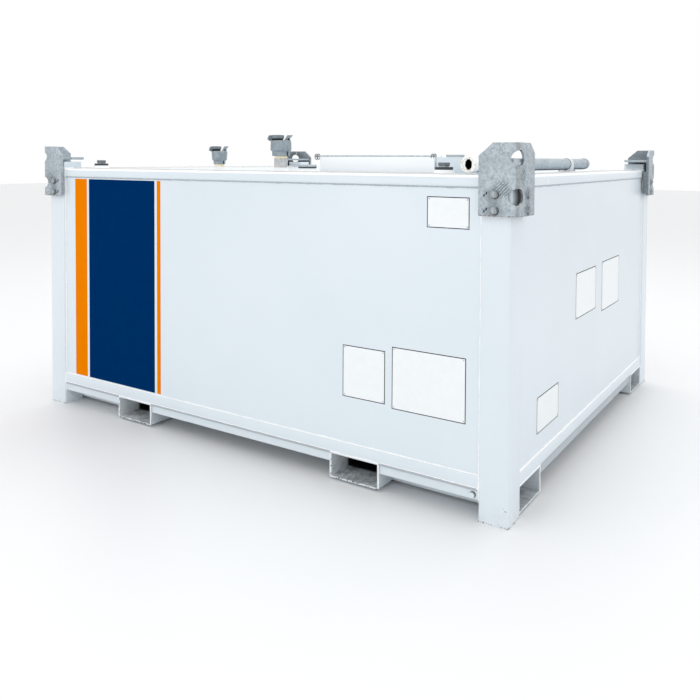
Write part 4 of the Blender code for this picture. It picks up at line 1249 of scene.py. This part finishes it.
def pipe_clamps():
    """Saddle clamps: two white bands over a dark liner, on a foot with a screw at each end."""
    x, z = PIPE_CENTRE.x, PIPE_CENTRE.z
    for name in ("front_clamp", "back_clamp"):
        low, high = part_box(name)
        middle = (low.y + high.y) / 2.0
        bands = bmesh.new()
        outer = high.z - z
        outline = [(x - outer, low.z + 3.0 * MM), (x + outer, low.z + 3.0 * MM)]
        outline += arc((x, z), outer, [11.25 * step for step in range(17)])
        for side in (-1, 1):
            plate(
                bands, outline, middle + side * 4.5 * MM, middle + side * 12.5 * MM,
                (x, z, PIPE_R + 0.2 * MM), 0.8 * MM,
            )
        block(bands, (low.x, low.y, low.z), (high.x, high.y, low.z + 4.0 * MM), 1.2 * MM)
        # The bands are in the whiter enamel: a painted highlight
        finish_piece(name + "_bands", bands, HIGHLIGHT_ENAMEL, stands_for=name)
        liner = bmesh.new()
        half, thick = 13.0 * MM, PIPE_R + 1.4 * MM
        turned(
            liner, [(PIPE_R, -half), (thick, -half), (thick, half), (PIPE_R, half)],
            (x, middle, z), 40, "Y",
        )
        finish_piece(name + "_liner", liner, RUBBER)
        screws = bmesh.new()
        for spot in (low.x + 5.5 * MM, high.x - 5.5 * MM):
            for start, end, radius, sides, tip in SCREW_STEPS:
                bar(
                    screws, (spot, middle, low.z + start * MM), (spot, middle, low.z + end * MM),
                    radius * MM, sides, tip * MM,
                )
        finish_piece(name + "_screws", screws, FASTENER, smooth=BOLT_ANGLE)


def hatch():
    """Skirted hatch lid over its curb, a zinc rod in double rings in front, hinges behind."""
    low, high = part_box("hatch_lid")
    curb_low, curb_high = HATCH
    lid_low = Vector((curb_low.x - HATCH_LIP, curb_low.y - HATCH_LIP, curb_low.z + 1.5 * MM))
    lid_high = Vector((curb_high.x + HATCH_LIP, curb_high.y + HATCH_LIP, HATCH_TOP))
    bm = bmesh.new()
    block(bm, lid_low, lid_high, 2.5 * MM, 3)
    under = [face for face in bm.faces if face.normal.z < -0.99 and face.calc_area() > 0.01]
    bmesh.ops.inset_region(bm, faces=under, thickness=1.2 * MM, depth=0.0)
    raised = list({vert for face in under for vert in face.verts})
    bmesh.ops.translate(bm, verts=raised, vec=(0.0, 0.0, HATCH_HOLLOW))
    # The lid is in the whiter enamel: a painted highlight
    finish_piece("hatch_lid_plate", bm, HIGHLIGHT_ENAMEL, stands_for="hatch_lid")
    soften("hatch_curb", 1.5 * MM)
    rod = bmesh.new()
    y, z = curb_low.y + 6.0 * MM, HATCH_TOP + 2.4 * MM
    bar(rod, (low.x + MM, y, z), (high.x - MM, y, z), 4.2 * MM, 16)
    finish_piece("hatch_rod", rod, PIPE_ZINC)
    rings = bmesh.new()
    for centre in HATCH_RING_XS:
        for shift in (-5.5 * MM, 5.5 * MM):
            ring(rings, (centre + shift, y, HATCH_TOP), "X", 11.6 * MM, 1.9 * MM, 28, 10)
    finish_piece("hatch_rings", rings, WORN_IRON)
    hinges = bmesh.new()
    pin_y, pin_z = lid_high.y + 5.0 * MM, HATCH_TOP - 2.0 * MM
    for x in (curb_low.x + HINGE_IN, curb_high.x - HINGE_IN):
        block(
            hinges, (x - 20.0 * MM, curb_high.y - HINGE_LENGTH, HATCH_TOP),
            (x + 20.0 * MM, pin_y, HATCH_TOP + 4.0 * MM), 1.2 * MM,
        )
        bar(hinges, (x - 24.0 * MM, pin_y, pin_z), (x + 24.0 * MM, pin_y, pin_z), 6.0 * MM, 20)
        block(
            hinges, (x - 18.0 * MM, lid_high.y + 1.5 * MM, curb_low.z),
            (x + 18.0 * MM, pin_y, pin_z), MM,
        )
    finish_piece("hatch_hinges", hinges, ENAMEL)
    beads = bmesh.new()
    z = curb_low.z + MM
    for y in (curb_low.y, curb_high.y):
        weld_bead(beads, (curb_low.x, y, z), (curb_high.x, y, z), 3.0 * MM, y)
    for x in (curb_low.x, curb_high.x):
        weld_bead(beads, (x, curb_low.y, z), (x, curb_high.y, z), 3.0 * MM, x)
    # Beads in the whiter enamel: a painted highlight
    finish_piece("hatch_curb_beads", beads, HIGHLIGHT_ENAMEL, smooth=BEAD_ANGLE)


def gauge_box():
    """Small gauge housing with a grey strip along its front top edge and screws in its cover."""
    low, high = GAUGE
    soften("gauge_box", 3.0 * MM, segments=3)
    strip = bmesh.new()
    block(
        strip, (high.x - 85.0 * MM, low.y + MM, high.z - MM),
        (high.x - 10.0 * MM, low.y + 12.0 * MM, high.z + 9.0 * MM), 1.5 * MM,
    )
    finish_piece("gauge_box_strip", strip, SEALANT_AND_SEAM_SHADE)
    screws = bmesh.new()
    for x in (low.x + 10.0 * MM, high.x - 10.0 * MM):
        for y in (low.y + 25.0 * MM, high.y - 10.0 * MM):
            bar(screws, (x, y, high.z - MM), (x, y, high.z + 2.0 * MM), 4.0 * MM, 20, 3.0 * MM)
    finish_piece("gauge_box_screws", screws, FASTENER)


def roof_plugs():
    """Pipe plugs in painted flared bosses: a dark flange, a bright thread and a knurled head."""
    for name in ("left_roof_plug", "right_roof_plug", "plate_cap"):
        low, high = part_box(name)
        centre = Vector(((low.x + high.x) / 2.0, (low.y + high.y) / 2.0, low.z))
        boss = bmesh.new()
        turned(boss, mm((0, 0), (41, 0), (39, 5), (35.2, 12), (34, 18), (0, 18)), centre, 48)
        ring_bead(boss, centre + Vector((0, 0, 2.5 * MM)), 39.5 * MM, 2.6 * MM, low.x)
        # The boss is in the whiter enamel: a painted highlight
        finish_piece(
            name + "_boss", boss, HIGHLIGHT_ENAMEL, smooth=50.0, stands_for=name,
        )
        iron = bmesh.new()
        metal = bmesh.new()
        if name == "plate_cap":
            turned(iron, mm(
                (0, 17.5), (35.5, 17.5), (36.5, 18.5), (36.5, 23.5), (0, 23.5),
            ), centre, 48)
            turned(metal, mm(
                (0, 23), (36.2, 23), (37, 24), (37, 29.5), (35, 32), (0, 32),
            ), centre, 48)
        else:
            turned(iron, mm(
                (0, 17.5), (31.5, 17.5), (32.5, 18.5), (32.5, 26.8), (31.3, 28), (0, 28),
            ), centre, 48)
            turned(metal, mm((0, 27.5), (18, 27.5), (18, 32.5), (0, 32.5)), centre, 32)
            head = bmesh.new()
            turned(head, mm(
                (0, 32), (19.7, 32), (20.5, 32.8), (20.5, 42.6), (19.3, 44), (11, 44),
                (10, 41), (0, 41),
            ), centre, 40)
            for x, y in arc((0.0, 0.0), 20.2 * MM, range(0, 360, 18)):
                knurl = centre + Vector((x, y, 0.0))
                bar(
                    head, knurl + Vector((0, 0, 33.5 * MM)), knurl + Vector((0, 0, 42.0 * MM)),
                    MM, 6,
                )
            finish_piece(name + "_head", head, WORN_IRON)
        finish_piece(name + "_flange", iron, IRON)
        finish_piece(name + "_bright_part", metal, PIPE_ZINC)


def drain_plug():
    """Small painted drain boss, hollow in front, with a dark ring set off to its upper right as
    painted shade.
    """
    low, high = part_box("drain_plug")
    x, z = (low.x + high.x) / 2.0, (low.z + high.z) / 2.0
    bm = bmesh.new()
    turned(bm, mm(
        (0, 1.8), (3.6, 1.8), (4.2, 0.4), (7.4, 0.4), (8.8, 1.8), (9.2, 9), (0, 9),
    ), (x, low.y, z), 32, "Y")
    finish_piece("drain_boss", bm, ENAMEL, stands_for="drain_plug")
    # A dark ring set off up and right of the boss: painted shade
    seal = bmesh.new()
    turned(
        seal, mm((6, 7.4), (10.4, 7.4), (10.4, 9.4), (6, 9.4)),
        (x + 2.0 * MM, low.y, z + 1.6 * MM), 32, "Y",
    )
    finish_piece("drain_boss_shade_ring", seal, IRON)


def film(bm, axis, side, first, second, zs, thick):
    """Adds a thin sheet on a wall: axis 1 is the front or back wall, axis 0 a side wall."""
    face = -FRONT_WALL[0].y if axis else RIGHT_WALL[1].x
    near, far = side * (face - 0.05 * MM), side * (face + thick)
    low = (first, near, zs[0]) if axis else (near, first, zs[0])
    high = (second, far, zs[1]) if axis else (far, second, zs[1])
    block(bm, low, high)


def livery():
    """Plain vinyl bands on the front and the back wall: a navy band between orange stripes."""
    low, high = FRONT_WALL
    zs = (low.z + 6.0 * MM, high.z - 8.0 * MM)
    navy = bmesh.new()
    orange = bmesh.new()
    for side in (-1, 1):
        for bm, (start, width) in ((orange, STRIPES[0]), (navy, BAND), (orange, STRIPES[1])):
            near = low.x + LIVERY_INSET + start
            film(bm, 1, side, -side * near, -side * (near + width), zs, 0.3 * MM)
    finish_piece("navy_bands", navy, NAVY, smooth=0)
    finish_piece("orange_stripes", orange, ORANGE, smooth=0)


def placards():
    """Blank placards held by corner rivets: pale sheets with a thin grey edge."""
    edges = bmesh.new()
    sheets = bmesh.new()
    rivets = bmesh.new()
    for axis, side, across, zs in PLACARDS:
        film(edges, axis, side, across[0], across[1], zs, 0.25 * MM)
        film(
            sheets, axis, side, across[0] + PLATE_EDGE, across[1] - PLATE_EDGE,
            (zs[0] + PLATE_EDGE, zs[1] - PLATE_EDGE), 0.40 * MM,
        )
        face = side * (-FRONT_WALL[0].y if axis else RIGHT_WALL[1].x)
        out = Vector((0, side, 0)) if axis else Vector((side, 0, 0))
        for u in (across[0] + RIVET_IN, across[1] - RIVET_IN):
            for z in (zs[0] + RIVET_IN, zs[1] - RIVET_IN):
                spot = Vector((u, face, z)) if axis else Vector((face, u, z))
                bar(rivets, spot, spot + out * 1.6 * MM, 2.6 * MM, 16, 1.6 * MM)
    finish_piece("placard_edges", edges, CHARCOAL, smooth=0)
    finish_piece("placard_sheets", sheets, PLACARD, smooth=0)
    finish_piece("placard_rivets", rivets, FASTENER)


def camera():
    """The photograph's viewpoint: a little above the roof, near the right front corner."""
    place = Vector((2.0481, -3.2902, 1.1859))
    yaw = math.radians(33.395)
    pitch = math.radians(1.739)
    roll = math.radians(-0.283)
    focal_px = 756.9
    centre_px = (344.1, 182.8)
    ahead = Vector((
        -math.sin(yaw) * math.cos(pitch), math.cos(yaw) * math.cos(pitch), -math.sin(pitch),
    ))
    level = Vector((math.cos(yaw), math.sin(yaw), 0.0))
    down = ahead.cross(level)
    right = level * math.cos(roll) + down * math.sin(roll)
    below = down * math.cos(roll) - level * math.sin(roll)
    data = bpy.data.cameras.new("camera")
    data.sensor_width = 36.0
    data.lens = focal_px / FRAME_PX * data.sensor_width
    data.shift_x = (FRAME_PX / 2.0 - centre_px[0]) / FRAME_PX
    data.shift_y = (centre_px[1] - FRAME_PX / 2.0) / FRAME_PX
    data.clip_start = 0.05
    obj = bpy.data.objects.new("camera", data)
    turn = Matrix((right, -below, -ahead)).transposed().to_4x4()
    obj.matrix_world = Matrix.Translation(place) @ turn
    bpy.context.scene.collection.objects.link(obj)
    bpy.context.scene.camera = obj


def softbox(name, place, target, size, power):
    """A large white lamp in a rectangle, aimed at a point."""
    data = bpy.data.lights.new(name, "AREA")
    data.shape = "RECTANGLE"
    data.size, data.size_y = size
    data.energy = power
    obj = bpy.data.objects.new(name, data)
    obj.location = place
    aim = Vector(target) - Vector(place)
    obj.rotation_euler = aim.to_track_quat("-Z", "Y").to_euler()
    bpy.context.scene.collection.objects.link(obj)


def studio():
    """A pale floor, a bright even surround and large soft lamps."""
    scene = bpy.context.scene
    world = bpy.data.worlds.new("studio")
    world.use_nodes = True
    background = world.node_tree.nodes["Background"]
    background.inputs["Color"].default_value = linear("#FFFFFF")
    background.inputs["Strength"].default_value = 1.0
    scene.world = world
    bm = bmesh.new()
    bmesh.ops.create_grid(bm, x_segments=1, y_segments=1, size=30.0)
    mesh = bpy.data.meshes.new("studio_floor")
    bm.to_mesh(mesh)
    bm.free()
    material, tree, floor_shader, _ = new_material("studio_floor")
    feed(tree, floor_shader, {"Base Color": linear("#ECEDEE"), "Roughness": 0.45})
    mesh.materials.append(material)
    floor = bpy.data.objects.new("studio_floor", mesh)
    scene.collection.objects.link(floor)
    softbox("key", (-2.5, -5.0, 5.0), (0, 0, 0.6), (4.0, 3.0), 32.0)
    softbox("low front", (0.0, -6.0, 0.7), (0, 0, 0.2), (6.0, 1.0), 27.0)
    softbox("side", (6.0, 0.5, 3.5), (0.5, 0, 0.6), (3.0, 3.0), 30.0)
    softbox("top", (0.0, 1.0, 6.0), (0, 0, 1.0), (5.0, 5.0), 85.0)
    scene.view_settings.view_transform = "Standard"


def main():
    """Dresses the tank from the frame up to the roof, then sets up the studio."""
    dress_frame()
    rounded_frame()
    frame_welds()
    sill_seam_shade_bars()
    lifting_lugs()
    pockets()
    pocket_mouths()
    post_feet()
    # The dip neck is in the whiter enamel: a painted highlight
    for kind, look in (("fill", NECK_ZINC), ("dip", HIGHLIGHT_ENAMEL)):
        cap_body(kind)
        cap_lid(kind)
        cap_neck(kind, look)
    roof_pipe()
    pipe_clamps()
    hatch()
    gauge_box()
    roof_plugs()
    drain_plug()
    livery()
    placards()
    camera()
    studio()


main()
